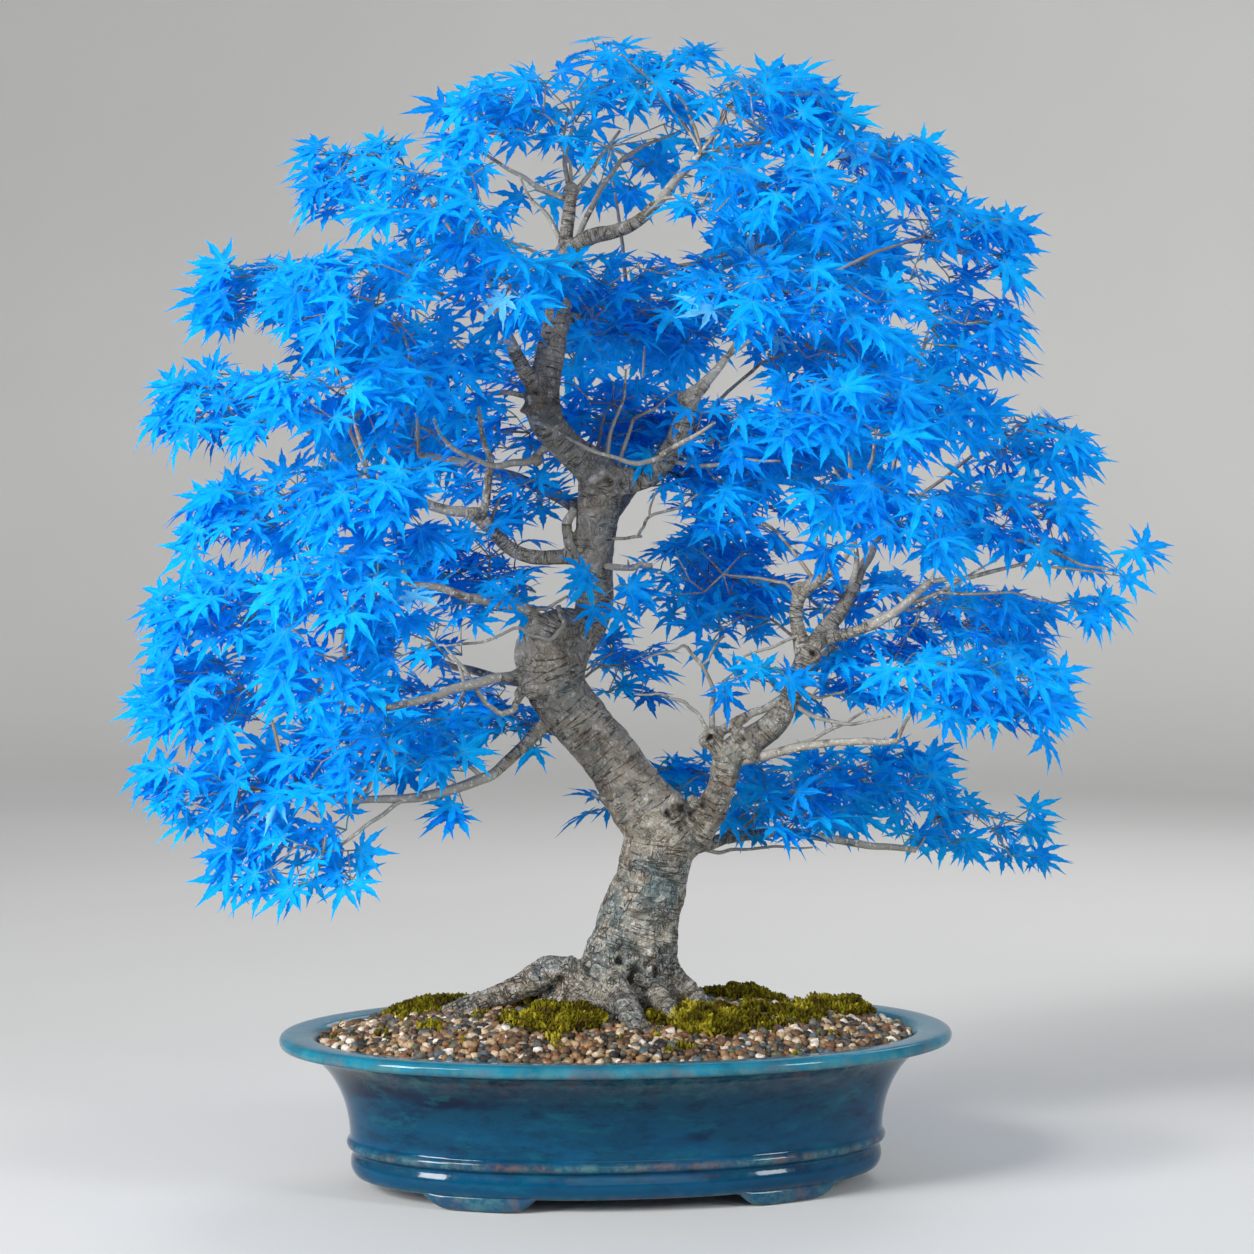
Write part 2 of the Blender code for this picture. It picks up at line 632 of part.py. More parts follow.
def make_sprays(wood_space):
    blue = material("leaf_blue", (0.0, 0.2, 1.0), 0.5)
    for key, (across, back, up, half_across, half_back) in SPRAYS.items():
        outward = Vector((across, back)).normalized()
        shape = bmesh.new()
        bmesh.ops.create_uvsphere(shape, u_segments=SPRAY_SIDES, v_segments=SPRAY_RINGS, radius=1.0)
        for vertex in shape.verts:
            offset = Vector((vertex.co.x * half_across, vertex.co.y * half_back))
            droop = SPRAY_DROOP * offset.dot(outward) + SPRAY_BEND * offset.length_squared
            place = Vector((across + offset.x, back + offset.y, up)) * SPRAY_LUMP_SCALE
            lump = SPRAY_LUMP * noise.noise(place)
            height = up + vertex.co.z * SPRAY_HALF_THICKNESS - droop + lump
            vertex.co = tree_point(across + offset.x, back + offset.y, height)
        bmesh.ops.recalc_face_normals(shape, faces=shape.faces)
        mesh = bpy.data.meshes.new(f"leaf_spray_{key}")
        shape.to_mesh(mesh)
        shape.free()
        boolean(add_object(f"leaf_spray_{key}", mesh, blue), wood_space)


def main():
    clear_scene()
    make_pot()
    make_drain_screens()
    wood = make_wood("trunk_and_branches")
    wood.data.materials.append(material("bark", (0.22, 0.2, 0.17), 0.85))
    wood_space = as_cutter(make_wood("wood_space", CLEARANCE))
    make_soil(wood_space)
    make_gravel(wood_space)
    make_moss(wood_space)
    make_sprays(wood_space)


main()
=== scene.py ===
"""Looks for a maple bonsai in an oval glazed pot, laid out as an add-on.

The tree was planted turned about Z by TREE_TURN, so roots, limbs, twigs and knots are written in
the tree's own axes: across (left to right), back (front to back) and up, in millimetres.
"""

import json
import math
import random

import bmesh
import bpy
import numpy as np
from bpy.props import FloatProperty, FloatVectorProperty, IntProperty, PointerProperty
from bpy.types import Operator, Panel, PropertyGroup
from mathutils import Matrix, Vector, noise
from mathutils.bvhtree import BVHTree

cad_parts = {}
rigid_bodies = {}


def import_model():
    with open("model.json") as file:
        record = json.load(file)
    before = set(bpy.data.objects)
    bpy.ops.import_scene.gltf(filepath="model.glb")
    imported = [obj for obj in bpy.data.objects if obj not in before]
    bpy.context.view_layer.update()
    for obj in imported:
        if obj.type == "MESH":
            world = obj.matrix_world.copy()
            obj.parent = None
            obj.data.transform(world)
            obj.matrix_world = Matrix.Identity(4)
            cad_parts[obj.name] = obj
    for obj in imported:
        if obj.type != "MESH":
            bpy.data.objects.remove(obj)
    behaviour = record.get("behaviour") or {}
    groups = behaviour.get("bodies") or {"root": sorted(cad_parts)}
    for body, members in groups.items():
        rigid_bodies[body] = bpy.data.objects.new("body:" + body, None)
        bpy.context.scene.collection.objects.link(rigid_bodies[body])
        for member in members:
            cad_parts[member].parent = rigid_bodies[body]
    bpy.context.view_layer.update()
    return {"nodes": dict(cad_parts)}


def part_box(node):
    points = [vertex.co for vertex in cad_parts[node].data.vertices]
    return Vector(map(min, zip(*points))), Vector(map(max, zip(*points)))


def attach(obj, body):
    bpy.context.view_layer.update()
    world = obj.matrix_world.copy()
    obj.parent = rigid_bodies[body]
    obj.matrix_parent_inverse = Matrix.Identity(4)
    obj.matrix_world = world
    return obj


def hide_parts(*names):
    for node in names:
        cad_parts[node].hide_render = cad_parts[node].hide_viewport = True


bl_info = {
    "name": "Maple Bonsai",
    "version": (1, 0, 0),
    "blender": (4, 5, 0),
    "location": "3D View > Sidebar > Bonsai",
    "description": "Models a maple bonsai with layered leaf sprays in a glazed oval pot",
    "category": "Add Mesh",
}

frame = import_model()

MM = 0.001
# Fixes where the bends and lumps of the wood fall, so that each run gives the same tree.
NOISE_SEED = 7
POT_PLACE = Vector((-0.006, -0.007, 0.0))
TREE_TURN = math.radians(-8)
OVAL_POWER = 2.1

# The pot's wall: inset from the rim, height, and how thin the glaze runs there, from the
# underside up the outside, over the lip and down the inside.
POT_WALL = [
    (60.0, 6.5, 0.6), (41.5, 6.5, 0.6), (38.4, 6.8, 0.5), (37.0, 8.2, 0.3), (35.9, 10.4, 0.0),
    (35.4, 12.6, 0.0), (35.7, 15.2, 0.0), (36.5, 17.4, 0.2), (37.0, 18.8, 0.0), (36.2, 19.7, 0.0),
    (34.6, 20.6, 0.3), (33.6, 21.8, 0.9), (33.4, 23.2, 1.0), (34.0, 24.6, 0.5), (34.9, 25.6, 0.0),
    (35.2, 26.8, 0.0), (34.9, 31.0, 0.0), (34.2, 37.0, 0.0), (32.0, 45.5, 0.0), (27.8, 54.4, 0.0),
    (22.4, 61.8, 0.3), (16.6, 67.0, 0.65), (12.2, 69.3, 0.6), (8.0, 70.2, 0.3), (3.8, 70.4, 0.3),
    (1.0, 71.0, 0.7), (0.1, 72.6, 1.0), (0.0, 74.2, 0.6), (0.6, 75.8, 0.4), (2.0, 76.8, 0.1),
    (4.4, 77.1, 0.0), (9.0, 76.9, 0.0), (13.6, 76.6, 0.0), (15.8, 76.3, 0.4), (17.4, 75.4, 0.8),
    (18.8, 73.6, 0.4), (22.5, 69.5, 0.2), (31.0, 57.0, 0.2), (37.5, 43.0, 0.2), (40.5, 28.0, 0.2),
    (42.0, 17.0, 0.2), (46.0, 13.0, 0.2), (60.0, 13.0, 0.2),
]
FOOT_INSET = 0.0372
FOOT_DEPTH = 0.014
FOOT_TOP = 0.0095
FOOT_THINNESS = 0.7
# A foot's lower edge: how far along the foot, and its height there, in millimetres.
FOOT_EDGE = [
    (49.0, 6.4), (51.5, 5.0), (53.5, 3.0), (56.0, 1.3), (60.0, 0.2), (66.0, 0.0), (76.0, 0.0),
    (86.0, 0.0), (92.0, 0.2), (96.0, 1.3), (98.8, 3.0), (101.0, 5.0), (103.5, 6.4),
]
DRAIN_OFFSET = 0.055
DRAIN_RADIUS = 0.011

# Roots, trunk and limbs: (across, back, up, radius), from the thick end.
TRUNK = [
    (2, 0, 60, 18), (2, 0, 76, 25), (2, 0, 92, 29), (7, 0, 114, 22.5), (14, 0, 142, 19),
    (19, -1, 162, 18), (21, -2, 177, 19), (11, -2, 191, 16.5), (0, 0, 209, 14.5),
    (-18, 2, 230, 14.4), (-30, 2, 246, 15.5), (-36, 0, 264, 16.5), (-37, -3, 274, 12.5),
    (-34, -4, 280, 8),
]
LEADER = [
    (-29, 2, 256, 11), (-22, 8, 269, 9.5), (-13, 12, 286, 9.4), (-12, 12, 305, 9.6),
    (-12, 10, 322, 10.3), (-10, 8, 339, 11.4), (-9, 6, 354, 11.5), (-14, 4, 361, 9.5),
    (-22, 1, 367, 8.4), (-33, -5, 378, 8.6), (-38, -8, 391, 9.2), (-36, -6, 407, 7.4),
    (-31, -2, 434, 6.8), (-28, 0, 456, 6), (-27, 0, 469, 4), (-25, -2, 486, 3.5), (-23, -4, 500, 3),
]
LIMBS = {
    "right": [
        (24, -1, 166, 12), (36, -2, 175, 10.5), (45, -4, 185, 8.6), (52, -8, 199, 7), (56, -8, 214, 8),
        (66, -10, 222, 7.4), (79, -12, 232, 6.5), (86, -12, 244, 5.4), (91, -12, 256, 5.4),
        (95, -12, 268, 5),
    ],
    "right_hooked": [
        (93, -12, 260, 4), (91, -12, 274, 3.8), (89, -14, 285, 3.5), (91, -16, 295, 3.4),
        (98, -18, 302, 3.2), (108, -22, 309, 2.9), (115, -25, 320, 2.6), (118, -28, 331, 2.2),
    ],
    "right_upper": [
        (93, -12, 262, 4.6), (103, -8, 277, 4.3), (112, -6, 287, 4), (118, -4, 298, 3.4),
        (123, 0, 309, 2.8), (130, 7, 321, 2),
    ],
    "right_far": [
        (100, -10, 273, 3.4), (114, -14, 276, 3), (126, -20, 280, 2.7), (141, -28, 290, 2.3),
        (154, -34, 302, 1.8),
    ],
    "right_low_front": [
        (60, -9, 212, 3), (80, -18, 217, 2.4), (97, -26, 221, 2.1), (115, -34, 223, 1.8),
        (137, -42, 224, 1.5),
    ],
    "right_low_back": [
        (30, 2, 166, 5), (44, 14, 168, 3.8), (58, 34, 170, 3.2), (80, 52, 171, 2.8),
        (104, 68, 168, 2.4), (136, 84, 161, 1.9), (160, 92, 158, 1.5),
    ],
    "fork_top_right": [
        (-28, 0, 459, 4.5), (-21, -5, 471, 4.3), (-13, -10, 475, 4.2), (-1, -16, 477, 3.8),
        (11, -21, 482, 3.3), (20, -26, 490, 2.8), (31, -31, 503, 2.2), (41, -34, 513, 1.7),
    ],
    "left_of_leader": [
        (-38, -8, 394, 5), (-46, -14, 406, 4), (-52, -19, 418, 3.4), (-58, -24, 430, 2.4),
    ],
    "fork_middle_right": [
        (-9, 5, 352, 8), (4, 2, 353, 7), (16, 0, 356, 6.2), (26, -4, 367, 5.8), (33, -8, 382, 5.6),
        (36, -10, 392, 4.4), (44, -12, 402, 3), (54, -15, 414, 1.9),
    ],
    "left_first": [
        (-34, 2, 252, 4.6), (-46, -4, 254, 3.2), (-60, -14, 254, 2.8), (-76, -24, 250, 2.5),
        (-95, -35, 244, 2.2), (-116, -50, 240, 1.8), (-134, -58, 240, 1.5),
    ],
    "left_low": [
        (-26, 2, 238, 5), (-39, -4, 228, 3.8), (-49, -10, 218, 3.3), (-62, -17, 206, 2.9),
        (-86, -28, 198, 2.5), (-106, -36, 195, 2.2), (-128, -46, 195, 1.8), (-150, -54, 197, 1.5),
    ],
    "left_middle": [
        (-12, 11, 315, 6), (-27, 8, 315, 4.4), (-45, 6, 315, 4), (-56, 4, 320, 3.5),
        (-65, 0, 330, 3.2), (-76, -4, 337, 3), (-90, -9, 339, 2.5), (-107, -18, 344, 2),
        (-122, -24, 348, 1.6),
    ],
    "left_knot": [
        (-34, -2, 276, 4), (-45, -8, 288, 3), (-58, -14, 291, 2.6), (-74, -24, 294, 2.2),
        (-88, -34, 299, 1.9), (-103, -42, 300, 1.5),
    ],
    "back_low_left": [
        (-24, 6, 240, 5), (-34, 26, 246, 3.4), (-52, 46, 250, 2.8), (-78, 62, 256, 2.2),
        (-104, 72, 262, 1.6),
    ],
    "back_right": [
        (82, -10, 236, 4), (92, 12, 248, 3.2), (104, 34, 262, 2.6), (118, 54, 274, 2),
        (134, 66, 282, 1.5),
    ],
    "back_middle": [
        (-11, 14, 326, 5), (-2, 36, 338, 3.6), (8, 62, 352, 2.8), (16, 86, 362, 2.2),
        (20, 104, 368, 1.6),
    ],
    "back_middle_left": [
        (-12, 12, 334, 5), (-30, 30, 346, 3.6), (-56, 48, 358, 2.8), (-84, 62, 366, 2.2),
        (-106, 70, 370, 1.6),
    ],
    "back_upper": [(-32, -1, 426, 4), (-24, 24, 438, 2.8), (-12, 50, 448, 2.2), (4, 76, 458, 1.6)],
}
ROOTS = {
    "left": [
        (-6, -2, 102, 12), (-21, -4, 104, 8.6), (-34, -4, 106, 8.6), (-48, -4, 98, 6.8),
        (-62, -2, 93, 5.6), (-80, 2, 87, 4.4), (-92, 6, 82, 3.2), (-100, 9, 76, 2),
    ],
    "left_tip": [(-62, -2, 92, 4.2), (-76, -12, 87, 3.0), (-88, -20, 80, 2)],
    "front": [
        (-2, -12, 106, 10), (-1, -25, 100, 8.4), (3, -36, 94, 7.4), (8, -46, 88.5, 6.2),
        (13, -55, 84, 4.4),
    ],
    "front_toe": [(5, -36, 88, 5), (8, -48, 80, 3.6), (7, -56, 76, 2.2)],
    "front_right": [(12, -10, 106, 10), (19, -25, 97, 6.8), (25, -36, 91, 5.4), (29, -45, 86, 3.6)],
    "right": [(18, -2, 104, 11), (33, -5, 96, 7), (43, -10, 88, 5.2), (53, -16, 79, 3)],
    "left_front": [(-10, -10, 100, 9), (-20, -20, 92, 6), (-28, -26, 84, 4), (-36, -30, 78, 2.4)],
    "back_left": [(-4, 12, 104, 9), (-15, 32, 92, 6), (-24, 47, 80, 3.4)],
    "back_right": [(14, 12, 104, 9), (27, 34, 92, 5.8), (38, 51, 79, 3.4)],
}
# Ridges that run from the trunk's foot into the roots, and folds round the first fork.
RIDGES = [
    [(-12, -20, 84, 5), (-9, -21, 96, 5), (-3, -20, 110, 4), (2, -19, 124, 2)],
    [(24, -18, 82, 5), (21, -19, 96, 4.6), (18, -19, 110, 3.4), (16, -18, 126, 1.8)],
    [(34, -4, 84, 6), (29, -5, 98, 5), (26, -6, 114, 3.4), (27, -6, 132, 1.8)],
    [(-28, -8, 90, 6), (-20, -10, 102, 5), (-13, -9, 114, 3.4), (-8, -8, 128, 1.8)],
    [(-12, -6, 94, 8), (-26, -3, 92, 8), (-38, -1, 86, 7), (-50, 0, 80, 4)],
    [(-46, -1, 260, 7), (-43, -2, 270, 9), (-35, -2, 277, 10), (-25, 1, 280, 9), (-17, 6, 276, 7)],
    [(-1, -12, 182, 1.8), (7, -16, 184, 2.2), (16, -18, 187, 2.0), (24, -17, 190, 1.4)],
    [(6, -16, 178, 1.4), (14, -19, 180, 2.0), (22, -20, 181, 1.6)],
    [(-6, -8, 192, 1.4), (2, -14, 194, 1.8), (10, -15, 197, 1.2)],
]
# Knots: middle, radius, and "burl" for a lump, "nub" for a pale dead stub, or "hole" for a dent painted
# near black as shade.
KNOTS = [
    (-42, -12, 250, 6.0, "burl"), (-49, -10, 246, 4.2, "burl"), (-36, -14, 240, 3.4, "burl"),
    (-50, -8, 256, 3.6, "burl"), (-44, -15, 246, 2.6, "nub"), (-46, -12, 251, 2.4, "hole"),
    (22, -19, 188, 3.6, "burl"), (28, -18, 193, 3.8, "burl"), (38, -17, 192, 4.0, "burl"),
    (42, -14, 186, 4.0, "burl"), (30, -20, 183, 3.4, "burl"), (24, -19, 181, 3.0, "burl"),
    (36, -22, 181, 2.8, "nub"), (33, -22, 188, 4.2, "hole"), (31, -22, 180, 3.0, "hole"),
    (41, -19, 184, 3.6, "hole"), (26, -22, 187, 3.2, "hole"), (9, -18, 188, 2.8, "burl"),
    (48, -12, 226, 5.0, "burl"), (44, -12, 222, 3.8, "burl"), (51, -11, 218, 4.6, "burl"),
    (47, -16, 227, 2.2, "nub"), (46, -16, 224, 1.6, "hole"), (65, -15, 221, 5.0, "burl"),
    (61, -15, 226, 4.0, "burl"), (68, -16, 216, 3.8, "burl"), (65, -19, 219, 2.3, "nub"),
    (62, -18, 223, 1.6, "hole"), (-8, -5, 355, 7.0, "burl"), (-3, -7, 349, 5.0, "burl"),
    (-13, -5, 350, 4.6, "burl"), (2, -5, 357, 4.4, "burl"), (-1, -10, 354, 2.2, "nub"),
    (-4, -11, 352, 2.0, "hole"), (-41, -14, 396, 5.0, "burl"), (-42, -18, 397, 2.6, "hole"),
    (-46, -10, 388, 3.8, "burl"), (-41, -4, 364, 3.8, "burl"), (-23, -4, 499, 4.2, "burl"),
    (-27, -4, 468, 4.6, "burl"), (-66, -2, 331, 4.6, "burl"), (-73, -5, 337, 4.2, "burl"),
    (-69, -5, 335, 1.8, "hole"), (95, -15, 266, 6.2, "burl"), (101, -12, 272, 4.6, "burl"),
    (97, -20, 266, 2.0, "hole"), (90, -16, 298, 4.4, "burl"), (34, -12, 393, 5.0, "burl"),
    (38, -11, 397, 3.6, "burl"), (27, -9, 368, 3.6, "burl"), (21, -20, 151, 1.4, "hole"),
    (12, -18, 140, 6.5, "burl"), (20, -17, 137, 5.5, "burl"), (9, -24, 107, 4.6, "hole"),
    (15, -25, 101, 4.2, "hole"), (-4, -23, 101, 3.6, "hole"), (20, -21, 108, 3.0, "hole"),
    (-15, -17, 97, 4.2, "hole"), (1, -22, 113, 2.4, "hole"), (-16, -6, 222, 1.8, "hole"),
    (4, -14, 205, 1.4, "hole"), (-24, -13, 109, 7.0, "burl"), (-33, -10, 106, 6.0, "burl"),
    (-17, -16, 104, 5.0, "burl"), (-43, -9, 101, 4.6, "burl"), (-34, 20, 262, 4.5, "burl"),
    (-3, -20, 118, 4.4, "burl"), (15, -20, 116, 4.8, "burl"), (6, -22, 121, 3.8, "burl"),
    (22, 18, 150, 4.5, "burl"), (21, 21, 151, 2.2, "hole"), (-2, 26, 104, 5.5, "burl"),
    (-4, 19, 330, 4.0, "burl"), (26, -14, 124, 4.4, "burl"), (24, -12, 140, 3.8, "burl"),
]

# Small sprays close to the wood, which fill the gaps between the large ones: middle, and half
# their length across and back.
INNER_SPRAYS = {
    "behind_leader_top": (14, 30, 462, 50, 24), "behind_leader": (6, 34, 446, 46, 22),
    "behind_fork": (4, 34, 400, 30, 22), "behind_fork_low": (2, 34, 382, 30, 20),
    "left_of_knot": (-58, 18, 412, 20, 20), "left_of_fork": (-56, 20, 382, 24, 20),
    "left_arched": (-58, 14, 352, 26, 18), "left_middle_inner": (-80, 16, 322, 34, 22),
    "left_middle_low": (-66, 20, 300, 26, 20), "left_knot_inner": (-104, 4, 276, 26, 20),
    "left_first_inner": (-84, 16, 244, 32, 20), "left_first_end": (-52, 14, 232, 18, 14),
    "shoulder_front": (-50, -24, 294, 9, 8),
    "right_fork_upper": (52, 8, 384, 34, 22), "right_fork_lower": (46, 12, 362, 30, 22),
    "right_fork_end": (58, 4, 342, 26, 16), "right_hook_inner": (116, 22, 298, 24, 18),
    "right_limb_upper": (122, 16, 272, 24, 18), "right_limb_lower": (116, 12, 254, 22, 16),
    "right_limb_front": (62, -14, 256, 13, 10), "in_first_fork": (38, 32, 206, 22, 16),
    "behind_trunk": (-8, 26, 184, 7, 6), "far_low_left": (-214, -46, 196, 10, 9),
    "crown_small": (70, -4, 554, 12, 11),
    "far_right_low": (226, -34, 292, 15, 12), "low_right_upper": (136, 62, 208, 34, 22),
    "low_right_front": (80, 26, 190, 34, 13), "crown_top": (24, -4, 562, 15, 9),
    "low_left_upper": (-198, -42, 206, 34, 17), "leader_front": (-30, -25, 454, 18, 12),
    "behind_shoulder": (-6, 24, 262, 15, 12), "under_left_first": (-41, 4, 218, 7, 6),
    "sixth_middle_low": (62, 40, 290, 26, 12), "sixth_middle_front": (50, 18, 313, 33, 15),
    "stem_front": (88, -24, 259, 13, 9),
}
# Where blue-green lichen has spread: middle and reach.
LICHEN = [
    (16, -18, 146, 17), (2, -18, 116, 13), (-22, -12, 252, 10), (-12, -10, 214, 8),
    (30, 6, 112, 14), (-10, -8, 104, 14), (-2, 8, 330, 12), (-36, -12, 386, 9), (60, -12, 214, 10),
    (4, 20, 160, 18), (-30, 14, 240, 12), (88, -12, 250, 8), (-62, 0, 328, 7), (0, -16, 132, 12),
]

# Where loose moss creeps over the gravel: middle across and back, and reach across and back.
MOSS_DRIFTS = [
    (-78, 16, 52, 22), (-52, 10, 30, 14), (-34, -38, 36, 17), (20, -40, 12, 9), (54, -36, 36, 17),
    (84, -8, 38, 22), (62, 44, 40, 22), (2, 56, 60, 20), (-60, 48, 40, 20), (110, 26, 22, 18),
]
# Bare spurs and shoots that stand clear of the leaves.
BARE_TWIGS = {
    "crossing": [
        (-36, -8, 386, 1.2), (-44, -20, 383, 0.9), (-27, -30, 374, 0.8), (-12, -34, 366, 0.9),
        (9, -34, 360, 1.2), (21, -30, 363, 1.5), (27, -12, 368, 2.0),
    ],
    "crossing_tip": [(21, -31, 364, 1.6), (37, -36, 373, 1.1), (48, -38, 380, 0.7)],
    "stub_right": [(-6, 4, 310, 1.8), (5, -4, 309, 1.5), (11, -6, 311, 1.3), (17, -8, 310, 1.5)],
    "stub_thorn": [(5, -4, 309, 0.8), (5, -5, 313, 0.4)],
    "spur_right": [(-6, 6, 324, 1.0), (4, 2, 324, 0.8), (12, 0, 325, 0.7)],
    "spur_forked": [
        (10, 0, 325, 0.8), (13, -2, 330, 0.8), (16, -4, 335, 0.8), (30, -8, 339, 0.7),
        (40, -12, 346, 0.5),
    ],
    "spur_forked_side": [(16, -4, 335, 0.7), (17, -5, 342, 0.6), (19, -6, 349, 0.4)],
    "stub_left": [(-20, 10, 313, 2.8), (-25, 5, 322, 2.7), (-26, 4, 332, 2.6), (-22, 4, 339, 2.2)],
    "left_upright": [
        (-70, -2, 332, 2.6), (-67, -4, 340, 2.2), (-64, -6, 363, 1.7), (-69, -7, 380, 1.2),
        (-71, -8, 393, 0.8),
    ],
    "left_spur_high": [(-40, -6, 394, 1.7), (-55, -8, 397, 1.3), (-72, -10, 396, 0.8)],
    "left_arched": [
        (-34, -4, 372, 2.4), (-44, -3, 363, 2.0), (-62, -8, 360, 1.6), (-80, -14, 367, 1.3),
        (-89, -16, 376, 1.0), (-94, -18, 389, 0.7),
    ],
    "curling": [
        (-30, -8, 290, 1.3), (-27, -12, 281, 1.2), (-34, -15, 273, 1.1), (-42, -17, 275, 1.0),
        (-49, -20, 279, 0.9), (-67, -28, 272, 0.7), (-86, -34, 270, 0.5),
    ],
    "shoot": [
        (47, -10, 226, 1.6), (47, -12, 236, 1.4), (48, -12, 246, 1.2), (42, -14, 260, 1.0),
        (33, -14, 270, 0.8), (25, -16, 267, 0.6), (12, -18, 263, 0.4),
    ],
    "shoot_side": [(42, -14, 260, 0.8), (47, -14, 267, 0.7), (53, -14, 275, 0.5)],
    "bowed": [
        (46, -12, 226, 1.0), (40, -14, 236, 0.9), (33, -16, 242, 0.9), (21, -18, 246, 0.7),
        (8, -20, 246, 0.5),
    ],
    "right_fork_low": [
        (50, -10, 226, 2.6), (58, -13, 231, 2.6), (66, -15, 236, 2.2), (78, -14, 241, 2.2),
        (88, -12, 247, 2.0),
    ],
    "right_across": [
        (92, -14, 276, 0.9), (76, -20, 269, 0.8), (66, -20, 266, 0.7), (59, -20, 262, 0.5),
    ],
    "left_low_side": [
        (-56, -20, 424, 1.2), (-64, -14, 416, 1.0), (-76, -12, 419, 0.8), (-87, -18, 427, 0.5),
    ],
    "fork_out": [(24, -2, 364, 1.4), (42, -10, 360, 1.1), (62, -15, 363, 0.9), (81, -20, 362, 0.6)],
    "upright_a": [
        (-6, 2, 357, 1.5), (-5, 0, 370, 1.2), (-3, -1, 380, 1.0), (3, -4, 395, 0.8), (4, -6, 409, 0.5),
    ],
    "upright_b": [
        (0, 2, 358, 1.3), (3, 0, 370, 1.1), (8, -1, 384, 0.9), (18, -4, 389, 0.7), (30, -6, 398, 0.5),
    ],
    "top_a": [(-24, -4, 492, 1.6), (-18, -3, 503, 1.3), (-10, -2, 515, 1.0), (1, 0, 530, 0.7)],
    "top_b": [
        (-25, -2, 494, 1.6), (-35, -6, 498, 1.4), (-47, -8, 505, 1.2), (-69, -14, 517, 0.8),
        (-84, -18, 522, 0.5),
    ],
    "top_c": [
        (-20, -6, 476, 1.7), (-9, 0, 500, 1.4), (2, 4, 516, 1.2), (12, 6, 523, 1.0), (29, 8, 530, 0.6),
    ],
    "top_d": [(-28, 0, 472, 1.5), (-37, 2, 489, 1.1), (-45, 4, 497, 0.8), (-50, 4, 508, 0.5)],
    "top_e": [(-24, -4, 498, 1.4), (-27, 0, 516, 1.1), (-23, 2, 534, 0.8), (-25, 4, 548, 0.5)],
    "right_up_a": [(98, -18, 301, 1.5), (100, -15, 312, 1.2), (99, -15, 326, 0.9), (98, -16, 340, 0.6)],
    "right_up_b": [
        (116, -5, 296, 1.6), (120, -6, 312, 1.4), (118, -5, 332, 1.1), (117, -4, 347, 0.9),
        (108, -2, 360, 0.5),
    ],
    "right_out": [
        (120, -16, 278, 1.6), (142, -18, 290, 1.1), (160, -22, 297, 0.8), (186, -28, 312, 0.5),
    ],
    "right_low_a": [
        (78, -17, 217, 1.2), (97, -14, 223, 1.0), (113, -14, 231, 0.8), (125, -18, 239, 0.5),
    ],
    "right_low_b": [
        (86, -12, 242, 1.5), (97, -15, 235, 1.2), (116, -20, 231, 0.9), (135, -26, 235, 0.5),
    ],
    "right_low_c": [(88, -12, 247, 1.1), (100, -14, 244, 0.8), (113, -18, 247, 0.5)],
    "low_right_long": [(34, 6, 168, 1.1), (52, 24, 163, 1.0), (74, 40, 164, 0.8), (102, 54, 163, 0.5)],
    "left_hook": [
        (-44, -10, 250, 2.0), (-50, -11, 243, 1.8), (-52, -12, 238, 1.6), (-59, -13, 236, 1.4),
        (-66, -16, 241, 1.2), (-71, -18, 249, 1.1), (-77, -20, 259, 0.9), (-87, -24, 271, 0.6),
    ],
    "left_low_a": [(-102, -35, 196, 1.3), (-121, -46, 184, 1.0), (-134, -52, 174, 0.7)],
    "left_low_b": [
        (-68, -19, 205, 1.3), (-76, -24, 212, 1.1), (-82, -26, 218, 0.8), (-87, -28, 226, 0.5),
    ],
    "thorn_left": [(0, -6, 190, 1.4), (-6, -8, 193, 1.1), (-13, -9, 196, 0.6)],
    "lone_shoot": [
        (186, -28, 312, 1.1), (196, -36, 322, 0.9), (211, -42, 317, 0.8), (225, -50, 310, 0.7),
        (244, -57, 307, 0.5),
    ],
}
THICKEST_TWIG = 2.7
# How the studio floor curves up at its edge: steps outwards and upwards.
FLOOR_CURVE = [(0.5, 0.03), (0.4, 0.11), (0.35, 0.24), (0.22, 0.40), (0.1, 0.6), (0.0, 1.2)]

# A maple leaf: each lobe's direction from the middle one in degrees, and its length.
LOBES = [(-134, 0.44), (-88, 0.74), (-44, 0.94), (0, 1.0), (44, 0.94), (88, 0.74), (134, 0.44)]
# One side of a lobe: how far along and how wide, with two teeth that point to the tip.
LOBE_EDGE = [(0.36, 0.088), (0.505, 0.122), (0.52, 0.098), (0.68, 0.074), (0.69, 0.045)]
SINUS = 0.31
STALK = 0.46
# Sprays with fewer twigs than the rest, and how much wider their joints stand.
SPARSE = {
    "leaf_spray_crown_back": 1.7, "leaf_spray_crown": 1.15, "leaf_spray_upper_left_front": 1.2,
    "leaf_spray_low_right_tip": 1.25, "leaf_spray_low_right": 1.15, "leaf_spray_low_left": 1.15,
    "leaf_spray_upper_left_back": 1.4, "leaf_spray_crown_left": 1.15, "behind_leader_top": 1.2,
}
# The leaf shapes to choose from: how far the blade curls, and how far it hangs from its stalk.
LEAF_FORMS = [(0.05, 8), (0.12, 16), (0.20, 22), (0.10, 28), (0.28, 12), (0.16, 2), (0.24, 34)]

# Points nearer than this are one, in metres.
WELD_GAP = 0.00002
# A height that is over every part of the tree.
ABOVE_ALL = 1.0
DRILL_HEIGHT = 0.01
DRILL_LENGTH = 0.03
DRILL_SIDES = 32
# Glaze: where the lip's bright glaze starts and is full, and the same for the wall's lower part
# and for the base band.
LIP_GLAZE = (0.0688, 0.0730)
LOW_GLAZE = (0.058, 0.024)
BAND_GLAZE = (0.0200, 0.0120)
# Bark: the heights between which old bark gives way to young, and between which the bark grows darker
# towards the bottom.
OLD_BARK = (0.20, 0.13)
LOW_DARK_BARK = (0.120, 0.085)
